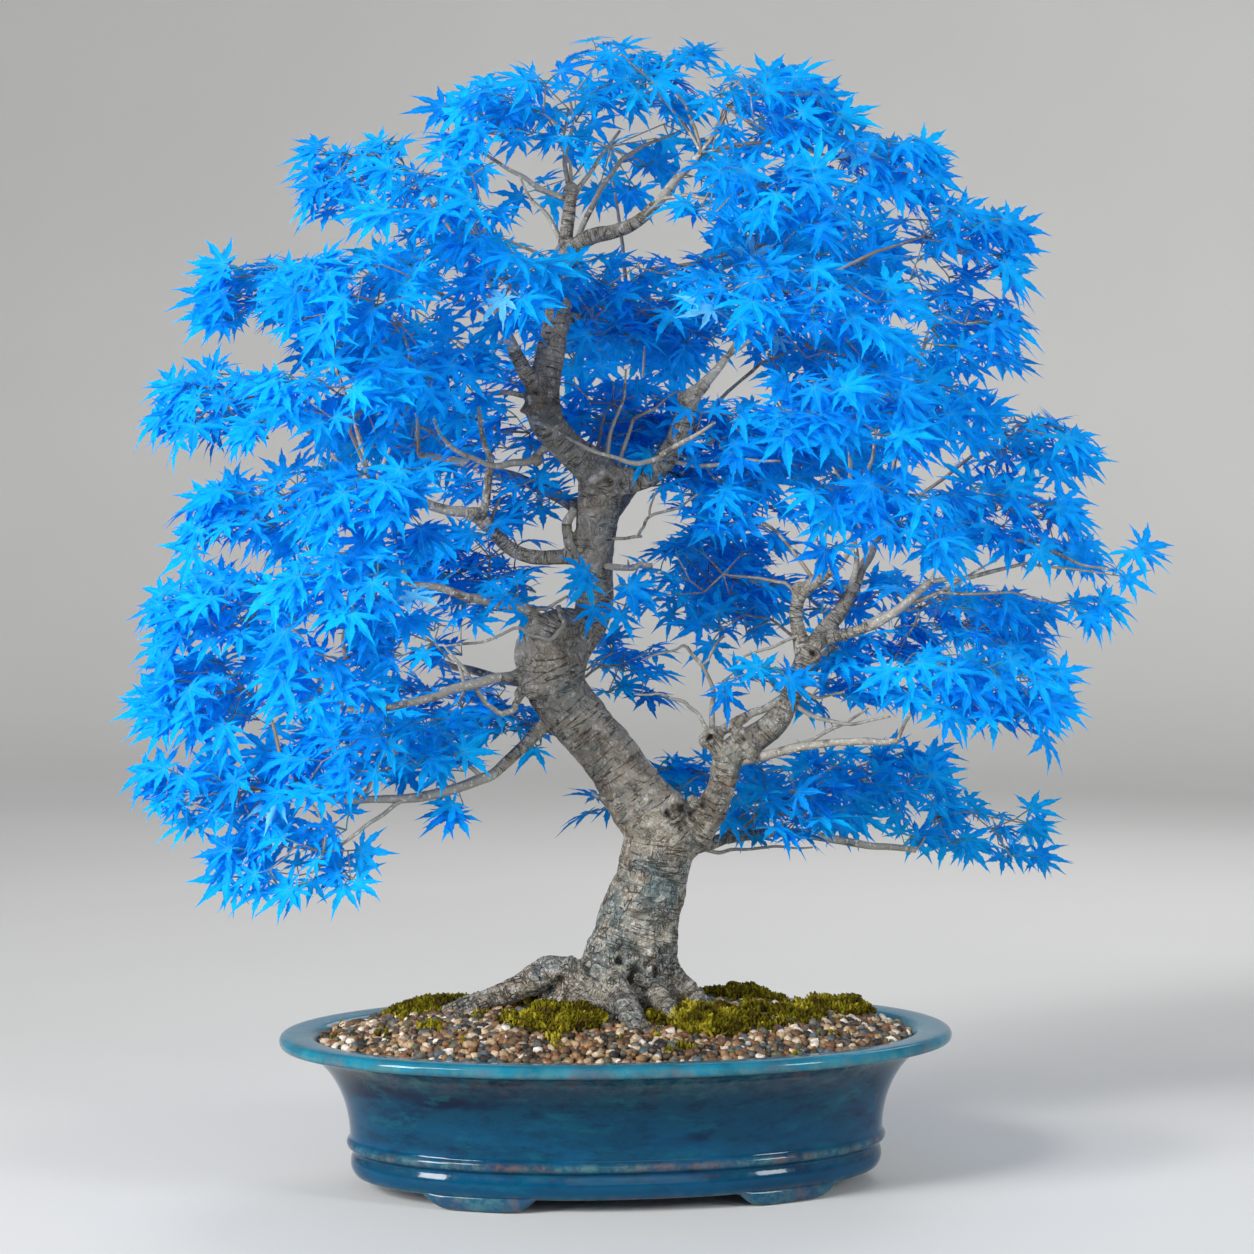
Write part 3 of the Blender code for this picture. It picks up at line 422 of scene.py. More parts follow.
# Tubes: how many sides they have, and how many steps between two points of a route.
TRUNK_TUBE = (16, 4)
END_TUBE = (8, 3)
TWIG_TUBE = (4, 1)
# Gap between the places along a limb that the bark's grain is measured from.
GRAIN_STEP = 0.004
# How many points are measured against the limbs at once.
GRAIN_BATCH = 4000
# Lumps in the bark: their fineness, height in millimetres, and what the foot adds.
BARK_LUMPS = [(42, 1.1, 1.1), (105, 0.8, 1.6)]
HOLLOW_DEPTH = 0.0022
BUD_GAP = 0.009
END_CROOK = 0.0013
TWIG_CROOK = 0.0006
INNER_MARGIN = 0.003
JOINT_TRIES = 1500
# Leaves stand this far over the CAD cushion, and a spray this wide has its full depth.
CUSHION_RISE = 0.004
DEEP_SPRAY = 0.036
# How much longer a sharp turn or a way down counts when twigs are joined.
TURN_COST = 0.9
DOWN_COST = 1.5
# How the leaves leave a twig's tip and its sides, in degrees, and by how much they stray.
TIP_LEAVES = (-48, 4, 52)
SIDE_LEAVES = (-58, 58)
LEAF_STRAY = 24
SINGLE_LEAVES = 0.25
LEAF_SIZES = (0.72, 1.18)
TIP_LEAF_SIZE = 1.18
PALE_LEAVES = 0.008
# The leaf's heart: the direction in degrees and length of the notch beside the stalk.
HEART_NOTCH = (168, 0.10)
LOBE_BEND = 0.58
STALK_WIDTH = 0.022
STONE_FORMS = 14
MOSS_FORMS = 6
# The gravel's two sizes: gap, smallest and largest as shares of a usual stone, and how deep.
STONE_LAYERS = [(0.82, 0.75, 1.45, 0.12), (0.66, 0.38, 0.70, -0.02)]
# Below this height the gravel mound meets the pot's inner wall.
GRAVEL_EDGE = 0.069
MOSS_HUMMOCKS = [(0.0030, 80), (0.0016, 230)]
# Loose moss grows where the cover is more than this.
THIN_MOSS = 0.42

# Earth under the stones: its node, finish, usual, dark and light colour, and fineness.
EARTHS = [
    # The gravel's bed is painted near black, as the shade between the stones.
    ("gravel", "shaded_grit_bed", (0.028, 0.018, 0.010), (0.010, 0.007, 0.004), (0.09, 0.058, 0.032), 420.0),
    ("soil", "potting_soil", (0.045, 0.03, 0.02), (0.015, 0.01, 0.007), (0.12, 0.09, 0.06), 300.0),
]

FLOOR_RADIUS = 3.2
LIGHTS_AIM = (0, 0, 0.28)
KEY_PLACE = (-1.55, -1.40, 1.62)
KEY_SOFTNESS = math.radians(14)
# Soft lights: place, width, height, the setting that gives their power, their share, and colour.
LAMPS = {
    "window_light": ((-1.5, -0.85, 0.70), 0.44, 0.62, "lamp_watts", 1.0, (1.0, 1.0, 1.0)),
    "front_light": ((0.25, -2.0, 0.85), 1.3, 1.1, "front_watts", 1.0, (1.0, 1.0, 1.0)),
    "fill_light": ((1.25, -1.2, 0.70), 0.34, 0.44, "lamp_watts", 0.38, (0.90, 0.96, 1.0)),
    "back_light": ((0.9, 1.6, 1.5), 1.1, 0.9, "lamp_watts", 0.35, (1.0, 1.0, 1.0)),
}


def tree_point(across, back, up):
    """A point given in the tree's axes in millimetres, in the model's frame."""
    return Matrix.Rotation(TREE_TURN, 3, "Z") @ Vector((across, back, up)) * MM + POT_PLACE


def tree_route(route):
    """A limb's route in the model's frame, as (point, radius) in metres."""
    return [(tree_point(*row[:3]), row[3] * MM) for row in route]


def to_tree(point):
    """A direction or an offset from the pot's middle, turned into the tree's axes."""
    return Matrix.Rotation(-TREE_TURN, 3, "Z") @ point


# ---- meshes


def new_object(name, mesh, look=None):
    """The mesh or curve as an object in the scene."""
    obj = bpy.data.objects.new(name, mesh)
    bpy.context.scene.collection.objects.link(obj)
    if look:
        mesh.materials.clear()
        mesh.materials.append(look)
    return obj


def finished(name, shape, look=None, flat=False):
    """The object that a bmesh becomes."""
    mesh = bpy.data.meshes.new(name)
    shape.to_mesh(mesh)
    shape.free()
    if flat:
        mesh.shade_flat()
    else:
        mesh.shade_smooth()
    return new_object(name, mesh, look)


def freeze(obj):
    """Replaces the object's mesh by what its modifiers make of it."""
    bpy.context.view_layer.update()
    graph = bpy.context.evaluated_depsgraph_get()
    looks = list(obj.data.materials)
    made = bpy.data.meshes.new_from_object(obj.evaluated_get(graph))
    obj.modifiers.clear()
    obj.data = made
    made.materials.clear()
    for look in looks:
        made.materials.append(look)


def subdivide(obj, levels):
    """Smooths the piece by rounds of subdivision."""
    step = obj.modifiers.new("smooth_surface", "SUBSURF")
    step.levels = levels
    step.render_levels = levels


def tubes(routes, sides, steps):
    """One mesh of closed, tapered tubes along smooth routes of (point, radius)."""
    curve = bpy.data.curves.new("routes", "CURVE")
    curve.dimensions = "3D"
    curve.resolution_u = steps
    curve.bevel_depth = 1.0
    curve.bevel_resolution = sides // 2 - 2
    curve.use_fill_caps = True
    for route in routes:
        spline = curve.splines.new("BEZIER")
        spline.bezier_points.add(len(route) - 1)
        for knot, (point, radius) in zip(spline.bezier_points, route):
            knot.co = point
            knot.radius = radius
            knot.handle_left_type = "AUTO"
            knot.handle_right_type = "AUTO"
    guide = new_object("routes", curve)
    bpy.context.view_layer.update()
    graph = bpy.context.evaluated_depsgraph_get()
    mesh = bpy.data.meshes.new_from_object(guide.evaluated_get(graph))
    bpy.data.objects.remove(guide, do_unlink=True)
    shape = bmesh.new()
    shape.from_mesh(mesh)
    bmesh.ops.remove_doubles(shape, verts=shape.verts, dist=WELD_GAP)
    bmesh.ops.recalc_face_normals(shape, faces=shape.faces)
    bpy.data.meshes.remove(mesh)
    return shape


def drawn_out(shape, edges):
    """The new points and edges that come of drawing out open edges."""
    grown = bmesh.ops.extrude_edge_only(shape, edges=edges)["geom"]
    ends = [item for item in grown if isinstance(item, bmesh.types.BMVert)]
    return ends, [item for item in grown if isinstance(item, bmesh.types.BMEdge)]


def write_vectors(mesh, name, values):
    """Keeps a vector for each point of the mesh."""
    attribute = mesh.attributes.new(name, "FLOAT_VECTOR", "POINT")
    attribute.data.foreach_set("vector", values.astype(np.float32).ravel())


def write_tone(shape, usual, change, fineness):
    """Gives each point of young wood a tone that drifts along it."""
    layer = shape.verts.layers.float.new("tone")
    for vert in shape.verts:
        vert[layer] = usual + change * noise.noise(vert.co * fineness)


def scatter(shapes, places):
    """One bmesh of many copies, each place being (which shape, matrix, tone)."""
    crowd = bmesh.new()
    for which, matrix, tone in places:
        copy = shapes[which].copy()
        copy.transform(matrix)
        copy.attributes["tone"].data.foreach_set("value", [tone] * len(copy.vertices))
        crowd.from_mesh(copy, face_normals=False, vertex_normals=False)
        bpy.data.meshes.remove(copy)
    return crowd


def stored(name, shape):
    """A mesh to copy from, with room for each copy's tone."""
    if "tone" not in shape.verts.layers.float:
        shape.verts.layers.float.new("tone")
    mesh = bpy.data.meshes.new(name)
    shape.to_mesh(mesh)
    shape.free()
    return mesh


def oval(half_length, half_width, height, sides):
    """Points round an oval centred on the pot, a little squarer than an ellipse."""
    points = []
    for step in range(sides):
        turn = 2 * math.pi * step / sides
        across = math.copysign(abs(math.cos(turn)) ** (2 / OVAL_POWER), math.cos(turn))
        back = math.copysign(abs(math.sin(turn)) ** (2 / OVAL_POWER), math.sin(turn))
        points.append(POT_PLACE + Vector((across * half_length, back * half_width, height)))
    return points


def ring_of(shape, points):
    """A closed loop of edges through the points."""
    verts = [shape.verts.new(point) for point in points]
    pairs = zip(verts, verts[1:] + verts[:1])
    return [shape.edges.new(pair) for pair in pairs]


def loft(rings, thinness):
    """A closed skin through rings of equal numbers of points, each with its glaze's thinness."""
    shape = bmesh.new()
    layer = shape.verts.layers.float.new("thin")
    loops = [ring_of(shape, ring) for ring in rings]
    for loop, thin in zip(loops, thinness):
        for edge in loop:
            for vert in edge.verts:
                vert[layer] = thin
    for first, second in zip(loops, loops[1:]):
        bmesh.ops.bridge_loops(shape, edges=first + second)
    for end in (loops[0], loops[-1]):
        bmesh.ops.contextual_create(shape, geom=end)
    bmesh.ops.recalc_face_normals(shape, faces=shape.faces)
    return shape


def surface_of(node):
    """A search tree of a CAD node's skin."""
    obj = frame["nodes"][node]
    shape = bmesh.new()
    shape.from_mesh(obj.data)
    bmesh.ops.transform(shape, matrix=obj.matrix_world, verts=shape.verts)
    tree = BVHTree.FromBMesh(shape)
    shape.free()
    return tree


def top_at(tree, x, y):
    """Where a line straight down at (x, y) meets the skin, and the normal there."""
    place, normal, _, _ = tree.ray_cast(Vector((x, y, ABOVE_ALL)), Vector((0, 0, -1)))
    return place, normal


def hand_over(obj, slot, *nodes):
    """Rides the piece on the tree and hides the CAD nodes that it stands in for."""
    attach(obj, "root")
    if nodes:
        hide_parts(*nodes)


def dress(node, look):
    """Gives a CAD node that stays in view its finished material."""
    obj = frame["nodes"][node]
    obj.data.materials.clear()
    obj.data.materials.append(look)


# ---- materials


def feed(tree, socket, value):
    """Links the socket to another one, or sets its own value."""
    if isinstance(value, bpy.types.NodeSocket):
        tree.links.new(value, socket)
    elif socket.type == "RGBA":
        socket.default_value = (*value[:3], 1.0)
    else:
        socket.default_value = value


def add(tree, kind, **values):
    """A node with its settings and sockets given. Names use _ for a space."""
    made = tree.nodes.new(kind)
    for name, value in values.items():
        if hasattr(made, name):
            setattr(made, name, value)
        else:
            feed(tree, made.inputs[name.replace("_", " ")], value)
    return made


def maths(tree, operation, first, second=0.0, third=0.0, clamp=False):
    """The result of one sum."""
    made = tree.nodes.new("ShaderNodeMath")
    made.operation = operation
    made.use_clamp = clamp
    for socket, value in zip(made.inputs, (first, second, third)):
        feed(tree, socket, value)
    return made.outputs[0]


def times(tree, *values):
    """The product of two or more values."""
    product = values[-1]
    for value in reversed(values[:-1]):
        product = maths(tree, "MULTIPLY", value, product)
    return product


def mix(tree, factor, first, second, blend="MIX"):
    """Two colours mixed by a factor."""
    made = tree.nodes.new("ShaderNodeMix")
    made.data_type = "RGBA"
    made.blend_type = blend
    for index, value in ((0, factor), (6, first), (7, second)):
        feed(tree, made.inputs[index], value)
    return made.outputs[2]


def between(tree, value, low, high, out_low=0.0, out_high=1.0):
    """The value carried from one range to another, smoothly and clamped."""
    made = add(
        tree, "ShaderNodeMapRange", Value=value, From_Min=low, From_Max=high,
        To_Min=out_low, To_Max=out_high, interpolation_type="SMOOTHSTEP",
    )
    return made.outputs["Result"]


def ramp(tree, factor, stops, interpolation="LINEAR"):
    """A colour for each value of the factor, from (place, colour) stops."""
    made = add(tree, "ShaderNodeValToRGB", Fac=factor)
    line = made.color_ramp
    line.interpolation = interpolation
    while len(line.elements) < len(stops):
        line.elements.new(0.5)
    for element, (place, colour) in zip(line.elements, stops):
        element.position = place
        element.color = (*colour[:3], 1.0)
    return made.outputs["Color"]


def stretched(tree, vector, scale):
    """The place with each direction scaled on its own."""
    return add(tree, "ShaderNodeMapping", Vector=vector, Scale=scale).outputs["Vector"]


def cloud(tree, vector, scale, detail=3.0, roughness=0.55, distortion=0.0):
    """Cloudy noise from 0 to 1."""
    made = add(
        tree, "ShaderNodeTexNoise", Vector=vector, Scale=scale, Detail=detail,
        Roughness=roughness, Distortion=distortion,
    )
    return made.outputs["Fac"]


def new_material(name):
    """A material, its nodes, its Principled shader, and the point's place on its own piece."""
    made = bpy.data.materials.new(name)
    made.use_nodes = True
    tree = made.node_tree
    place = add(tree, "ShaderNodeTexCoord").outputs["Object"]
    return made, tree, tree.nodes["Principled BSDF"], place


def grey(tree, value):
    """The value as a colour without hue."""
    return add(tree, "ShaderNodeCombineColor", Red=value, Green=value, Blue=value).outputs[0]


def mark(tree, name, kind="Fac"):
    """A value or a vector that the mesh carries."""
    return add(tree, "ShaderNodeAttribute", attribute_name=name).outputs[kind]


def new_group(name, inputs, outputs):
    """A node group with its sockets, and its two end nodes."""
    group = bpy.data.node_groups.new(name, "ShaderNodeTree")
    for socket, kind, value in inputs:
        made = group.interface.new_socket(
            name=socket, in_out="INPUT", socket_type=f"NodeSocket{kind}"
        )
        if value is not None:
            made.default_value = value
    for socket, kind in outputs:
        group.interface.new_socket(
            name=socket, in_out="OUTPUT", socket_type=f"NodeSocket{kind}"
        )
    into = group.nodes.new("NodeGroupInput")
    out = group.nodes.new("NodeGroupOutput")
    return group, into, out


def mottle_group():
    """Broad and fine clouds that drift a colour between three tones."""
    found = bpy.data.node_groups.get("Mottle")
    if found:
        return found
    group, into, out = new_group(
        "Mottle",
        [
            ("Vector", "Vector", None), ("Broad Scale", "Float", 40.0),
            ("Fine Scale", "Float", 300.0), ("Main", "Color", (0.5, 0.5, 0.5, 1)),
            ("Dark", "Color", (0.2, 0.2, 0.2, 1)), ("Light", "Color", (0.8, 0.8, 0.8, 1)),
        ],
        [("Color", "Color"), ("Broad", "Float"), ("Fine", "Float")],
    )
    broad = cloud(group, into.outputs["Vector"], into.outputs["Broad Scale"], 3.0, 0.6, 0.4)
    fine = cloud(group, into.outputs["Vector"], into.outputs["Fine Scale"], 4.0, 0.65)
    darker = mix(group, between(group, broad, 0.52, 0.68), into.outputs["Main"], into.outputs["Dark"])
    lighter = mix(group, between(group, fine, 0.52, 0.70), darker, into.outputs["Light"])
    group.links.new(lighter, out.inputs["Color"])
    group.links.new(broad, out.inputs["Broad"])
    group.links.new(fine, out.inputs["Fine"])
    return group


def speckle_group():
    """Small irregular flecks, as a mask."""
    found = bpy.data.node_groups.get("Speckle")
    if found:
        return found
    group, into, out = new_group(
        "Speckle",
        [("Vector", "Vector", None), ("Scale", "Float", 800.0), ("Amount", "Float", 0.3)],
        [("Mask", "Float")],
    )
    cell = add(group, "ShaderNodeTexVoronoi", Vector=into.outputs["Vector"], Scale=into.outputs["Scale"])
    wander = cloud(group, into.outputs["Vector"], into.outputs["Scale"], 2.0)
    reach = maths(group, "ADD", cell.outputs["Distance"], maths(group, "MULTIPLY", wander, 0.6))
    inside = maths(group, "LESS_THAN", reach, maths(group, "ADD", into.outputs["Amount"], 0.22))
    group.links.new(inside, out.inputs["Mask"])
    return group


def relief_group():
    """Two sizes of grain, as a normal."""
    found = bpy.data.node_groups.get("Relief")
    if found:
        return found
    group, into, out = new_group(
        "Relief",
        [
            ("Vector", "Vector", None), ("Coarse Scale", "Float", 300.0),
            ("Fine Scale", "Float", 1500.0), ("Strength", "Float", 0.5),
            ("Height", "Float", 0.0005), ("Extra", "Float", 0.0),
        ],
        [("Normal", "Vector")],
    )
    coarse = cloud(group, into.outputs["Vector"], into.outputs["Coarse Scale"], 4.0, 0.65)
    fine = cloud(group, into.outputs["Vector"], into.outputs["Fine Scale"], 3.0, 0.6)
    height = maths(group, "MULTIPLY_ADD", fine, 0.35, coarse)
    height = maths(group, "ADD", height, into.outputs["Extra"])
    bump = add(
        group, "ShaderNodeBump", Height=height, Strength=into.outputs["Strength"],
        Distance=into.outputs["Height"],
    )
    group.links.new(bump.outputs["Normal"], out.inputs["Normal"])
    return group


def use(tree, group, **values):
    """The group placed in a material with its own values."""
    made = tree.nodes.new("ShaderNodeGroup")
    made.node_tree = group
    for name, value in values.items():
        feed(tree, made.inputs[name.replace("_", " ")], value)
    return made


def flecks(tree, place, scale, amount):
    """A mask of small flecks."""
    made = use(tree, speckle_group(), Vector=place, Scale=scale, Amount=amount)
    return made.outputs["Mask"]


def drift(tree, place, scale, low, high, detail=3.0, roughness=0.55):
    """A value that wanders between two ends over the surface."""
    return between(tree, cloud(tree, place, scale, detail, roughness), 0.3, 0.7, low, high)


def finish_look(tree, shader, colour, rough, specular=None, **grain):
    """Gives the shader its colour, roughness and specular level, and the surface its grain."""
    tree.links.new(colour, shader.inputs["Base Color"])
    tree.links.new(rough, shader.inputs["Roughness"])
    if specular is not None:
        shader.inputs["Specular IOR Level"].default_value = specular
    if grain:
        relief = use(tree, relief_group(), **grain)
        tree.links.new(relief.outputs["Normal"], shader.inputs["Normal"])


def glaze_material():
    """Deep blue-green stoneware glaze that breaks pale and speckled where it runs thin."""
    tones = bpy.context.scene.bonsai_pot
    made, tree, shader, place = new_material("stoneware_glaze")
    bands = stretched(tree, place, (0.55, 0.55, 1.5))
    base = use(
        tree, mottle_group(), Vector=bands, Broad_Scale=30.0, Fine_Scale=75.0,
        Main=tones.glaze_main, Dark=tones.glaze_deep, Light=tones.glaze_teal,
    )
    blot = between(tree, cloud(tree, bands, 120.0, 7.0, 0.78), 0.46, 0.64)
    colour = mix(tree, times(tree, blot, 0.7), base.outputs["Color"], tones.glaze_deep)
    height = add(tree, "ShaderNodeSeparateXYZ", Vector=place).outputs["Z"]
    pool = between(tree, cloud(tree, place, 60.0, 4.0), 0.35, 0.62, 0.6, 1.0)
    colour = mix(tree, times(tree, between(tree, height, *LIP_GLAZE), pool), colour, tones.glaze_bright)
    patch = between(tree, cloud(tree, bands, 55.0, 4.0, 0.6), 0.40, 0.60, 0.2, 0.75)
    low = times(tree, between(tree, height, *LOW_GLAZE), patch)
    foot = times(tree, between(tree, height, *BAND_GLAZE), 0.6)
    colour = mix(tree, maths(tree, "MAXIMUM", low, foot), colour, tones.glaze_foot)
    thin = mark(tree, "thin")
    patchy = between(tree, cloud(tree, place, 130.0, 5.0, 0.7), 0.40, 0.62)
    bare = maths(tree, "MULTIPLY", thin, maths(tree, "MULTIPLY_ADD", patchy, 0.8, 0.2), clamp=True)
    rusty = between(tree, cloud(tree, place, 42.0), 0.42, 0.60)
    broken = mix(tree, rusty, tones.glaze_thin, tones.glaze_rust)
    colour = mix(tree, times(tree, bare, 0.5), colour, broken)
    fleck = flecks(tree, place, 800.0, 0.03)
    edge_fleck = times(tree, fleck, between(tree, thin, 0.25, 0.9))
    colour = mix(tree, times(tree, edge_fleck, 0.75), colour, tones.glaze_iron)
    spot = flecks(tree, place, 330.0, -0.09)
    colour = mix(tree, times(tree, spot, 0.7), colour, tones.glaze_iron)
    rough = between(tree, cloud(tree, place, 160.0, 4.0), 0.35, 0.7, 0.07, 0.17)
    rough = maths(tree, "ADD", rough, times(tree, bare, 0.15))
    finish_look(
        tree, shader, colour, rough, 0.07,
        Vector=place, Coarse_Scale=90.0, Fine_Scale=700.0, Strength=0.22, Height=0.0006,
    )
    shader.inputs["Coat Weight"].default_value = 0.28
    shader.inputs["Coat Roughness"].default_value = 0.03
    return made


def bark_material():
    """Grey-brown maple bark with ring lines, fine cracks, pale scuffs and lichen."""
    tones = bpy.context.scene.bonsai_wood
    made, tree, shader, place = new_material("maple_bark")
    grain = mark(tree, "grain", "Vector")
    marks = add(tree, "ShaderNodeSeparateXYZ", Vector=mark(tree, "marks", "Vector"))
    height = add(tree, "ShaderNodeSeparateXYZ", Vector=place).outputs["Z"]
    foot = between(tree, height, *OLD_BARK)

    def by_foot(more, plain):
        return maths(tree, "MULTIPLY_ADD", foot, more, plain)

    base = use(
        tree, mottle_group(), Vector=place, Broad_Scale=30.0, Fine_Scale=210.0,
        Main=tones.bark_main, Dark=tones.bark_brown, Light=tones.bark_pale,
    )
    cool_patch = between(tree, cloud(tree, place, 48.0, 4.0, 0.62), 0.47, 0.60)
    cool_patch = times(tree, cool_patch, by_foot(0.45, 0.35))
    colour = mix(tree, cool_patch, base.outputs["Color"], tones.bark_cool)
    crust = between(tree, cloud(tree, place, 430.0, 5.0, 0.76), 0.50, 0.58)
    colour = mix(tree, times(tree, crust, by_foot(0.55, 0.25)), colour, tones.bark_pale)
    contour = cloud(tree, stretched(tree, grain, (26.0, 26.0, 190.0)), 1.0, 3.0, 0.6)
    level = maths(tree, "ABSOLUTE", maths(tree, "SUBTRACT", contour, 0.5))
    ring_line = between(tree, level, 0.022, 0.0)
    ring_line = times(tree, ring_line, between(tree, cloud(tree, place, 120.0), 0.36, 0.50))
    plates = add(
        tree, "ShaderNodeTexVoronoi", Vector=stretched(tree, grain, (420.0, 420.0, 170.0)), Scale=1.0,
        feature="DISTANCE_TO_EDGE",
    )
    crack = between(tree, plates.outputs["Distance"], 0.10, 0.0)
    broken = between(tree, cloud(tree, place, 150.0, 4.0, 0.6), 0.44, 0.60)
    crack = times(tree, crack, broken, by_foot(0.5, 0.4))
    pit_place = stretched(tree, grain, (1.5, 1.5, 0.8))
    pit = flecks(tree, pit_place, 330.0, -0.06)
    dark_patches = between(tree, cloud(tree, place, 120.0, 7.0, 0.80), 0.50, 0.64)
    dark_patches = times(tree, dark_patches, by_foot(0.26, 0.36))
    # The bark grows darker towards the bottom.
    low_dark = between(tree, height, *LOW_DARK_BARK, 0.0, 0.22)
    dark_patches = maths(tree, "ADD", dark_patches, low_dark, clamp=True)
    colour = mix(tree, dark_patches, colour, tones.bark_darkened)
    dark = maths(tree, "MAXIMUM", times(tree, ring_line, 0.75), crack)
    dark = maths(tree, "MAXIMUM", dark, times(tree, pit, 0.85))
    colour = mix(tree, dark, colour, tones.bark_crack)
    growth = between(tree, cloud(tree, place, 130.0, 5.0, 0.65), 0.42, 0.60)
    lichen = times(tree, marks.outputs["X"], growth)
    colour = mix(tree, times(tree, lichen, 0.8), colour, tones.lichen)
    fleck = flecks(tree, place, 620.0, 0.0)
    colour = mix(tree, times(tree, fleck, 0.5), colour, tones.bark_dead)
    colour = mix(tree, times(tree, marks.outputs["Y"], 0.8), colour, tones.bark_dead)
    # Painted shade: the hollows' dents are coloured near black, as the shade inside them.
    hollow_shade = times(tree, marks.outputs["Z"], between(tree, cloud(tree, place, 260.0), 0.30, 0.50))
    colour = mix(tree, hollow_shade, colour, tones.bark_hollow_shade)
    rough = between(tree, base.outputs["Fine"], 0.3, 0.7, 0.62, 0.9)
    finish_look(
        tree, shader, colour, rough, 0.3, Vector=place, Coarse_Scale=400.0, Fine_Scale=1500.0,
        Strength=1.0, Height=0.0026, Extra=times(tree, dark, -0.8),
    )
    return made


def twig_material():
    """Smooth young wood: grey and pale on thick shoots, brown on the fine ones."""
    tones = bpy.context.scene.bonsai_wood
    made, tree, shader, place = new_material("young_twigs")
    young = between(tree, mark(tree, "tone"), 0.4, 0.9, 0.0, 0.75)
    base = use(
        tree, mottle_group(), Vector=place, Broad_Scale=90.0, Fine_Scale=500.0,
        Main=tones.twig_grey, Dark=tones.twig_dark, Light=tones.bark_pale,
    )
    colour = mix(tree, young, base.outputs["Color"], tones.twig_young)
    bud = flecks(tree, place, 240.0, -0.05)
    colour = mix(tree, times(tree, bud, 0.6), colour, tones.bark_dead)
    rough = between(tree, base.outputs["Fine"], 0.3, 0.7, 0.5, 0.8)
    finish_look(
        tree, shader, colour, rough, 0.3,
        Vector=place, Coarse_Scale=450.0, Fine_Scale=2200.0, Strength=0.6, Height=0.0004,
    )
    return made


def leaf_material():
    """A thin blue blade with paler ribs, that lets some light through."""
    tones = bpy.context.scene.bonsai_leaves
    made, tree, shader, place = new_material("blue_maple_leaf")
    rib = mark(tree, "rib")
    reach = mark(tree, "reach")
    colour = ramp(
        tree, mark(tree, "tone"),
        [
            (0.0, tones.leaf_deep), (0.35, tones.leaf_blue), (0.8, tones.leaf_bright),
            (0.97, tones.leaf_bright), (1.0, tones.leaf_pale),
        ],
    )
    blotch = between(tree, cloud(tree, place, 160.0, 4.0, 0.6), 0.35, 0.65, 0.84, 1.1)
    colour = mix(tree, 1.0, colour, grey(tree, blotch), "MULTIPLY")
    vein = between(tree, rib, 0.16, 0.03)
    colour = mix(tree, times(tree, vein, 0.32), colour, tones.leaf_vein)
    heart = between(tree, reach, 0.20, 0.0)
    colour = mix(tree, times(tree, heart, 0.30), colour, tones.leaf_vein)
    stalk = between(tree, reach, -0.2, -0.5)
    colour = mix(tree, stalk, colour, tones.leaf_stalk)
    finish_look(
        tree, shader, colour, drift(tree, place, 900.0, 0.48, 0.68), 0.05,
        Vector=place, Coarse_Scale=350.0, Fine_Scale=1800.0, Strength=0.30, Height=0.0004,
    )
    through = add(tree, "ShaderNodeBsdfTranslucent", Color=colour)
    both = add(tree, "ShaderNodeMixShader")
    both.inputs[0].default_value = 0.36
    tree.links.new(shader.outputs[0], both.inputs[1])
    tree.links.new(through.outputs[0], both.inputs[2])
    tree.links.new(both.outputs[0], tree.nodes["Material Output"].inputs["Surface"])
    return made


def stone_material():
    """Washed river gravel, each stone with its own colour."""
    made, tree, shader, place = new_material("river_gravel")
    colour = ramp(
        tree, mark(tree, "tone"),
        [
            (0.0, (0.018, 0.014, 0.010)), (0.10, (0.060, 0.038, 0.020)), (0.21, (0.14, 0.070, 0.028)),
            (0.32, (0.26, 0.145, 0.062)), (0.44, (0.40, 0.27, 0.15)), (0.55, (0.56, 0.43, 0.29)),
            (0.64, (0.21, 0.088, 0.032)), (0.74, (0.110, 0.100, 0.078)), (0.83, (0.070, 0.098, 0.112)),
            (0.89, (0.09, 0.098, 0.052)), (0.93, (0.72, 0.63, 0.52)),
        ],
        "CONSTANT",
    )
    cloudy = drift(tree, place, 420.0, 0.6, 1.3, 4.0, 0.65)
    colour = mix(tree, 1.0, colour, grey(tree, cloudy), "MULTIPLY")
    fleck = flecks(tree, place, 1500.0, 0.0)
    colour = mix(tree, times(tree, fleck, 0.45), colour, (0.05, 0.04, 0.035))
    finish_look(
        tree, shader, colour, drift(tree, place, 500.0, 0.38, 0.8),
        Vector=place, Coarse_Scale=700.0, Fine_Scale=2600.0, Strength=0.6, Height=0.0004,
    )
    return made


def moss_material():
    """Olive to yellow-green moss, with painted shade in dark brown at its foot between the shoots."""
    tones = bpy.context.scene.bonsai_ground
    made, tree, shader, place = new_material("cushion_moss")
    tone = mark(tree, "tone")
    wander = between(tree, cloud(tree, place, 70.0, 3.0), 0.35, 0.65, -0.22, 0.22)
    colour = ramp(
        tree, maths(tree, "ADD", tone, wander, clamp=True),
        [
            (0.0, tones.moss_shade), (0.35, tones.moss_olive), (0.75, tones.moss_green),
            (1.0, tones.moss_tip),
        ],
    )
    dry = between(tree, cloud(tree, place, 120.0, 2.0), 0.60, 0.70)
    colour = mix(tree, times(tree, dry, 0.5), colour, tones.moss_dry)
    finish_look(
        tree, shader, colour, drift(tree, place, 900.0, 0.7, 0.95), 0.1,
        Vector=place, Coarse_Scale=900.0, Fine_Scale=2600.0, Strength=0.8, Height=0.0008,
    )
    return made


def earth_material(name, main, dark, light, grain):
    """Granular earth or fine grit."""
    made, tree, shader, place = new_material(name)
    base = use(
        tree, mottle_group(), Vector=place, Broad_Scale=grain * 0.4, Fine_Scale=grain,
        Main=main, Dark=dark, Light=light,
    )
    finish_look(
        tree, shader, base.outputs["Color"], between(tree, base.outputs["Fine"], 0.3, 0.7, 0.8, 0.98),
        Vector=place, Coarse_Scale=grain, Fine_Scale=grain * 4, Strength=1.0, Height=0.0012,
    )
    return made


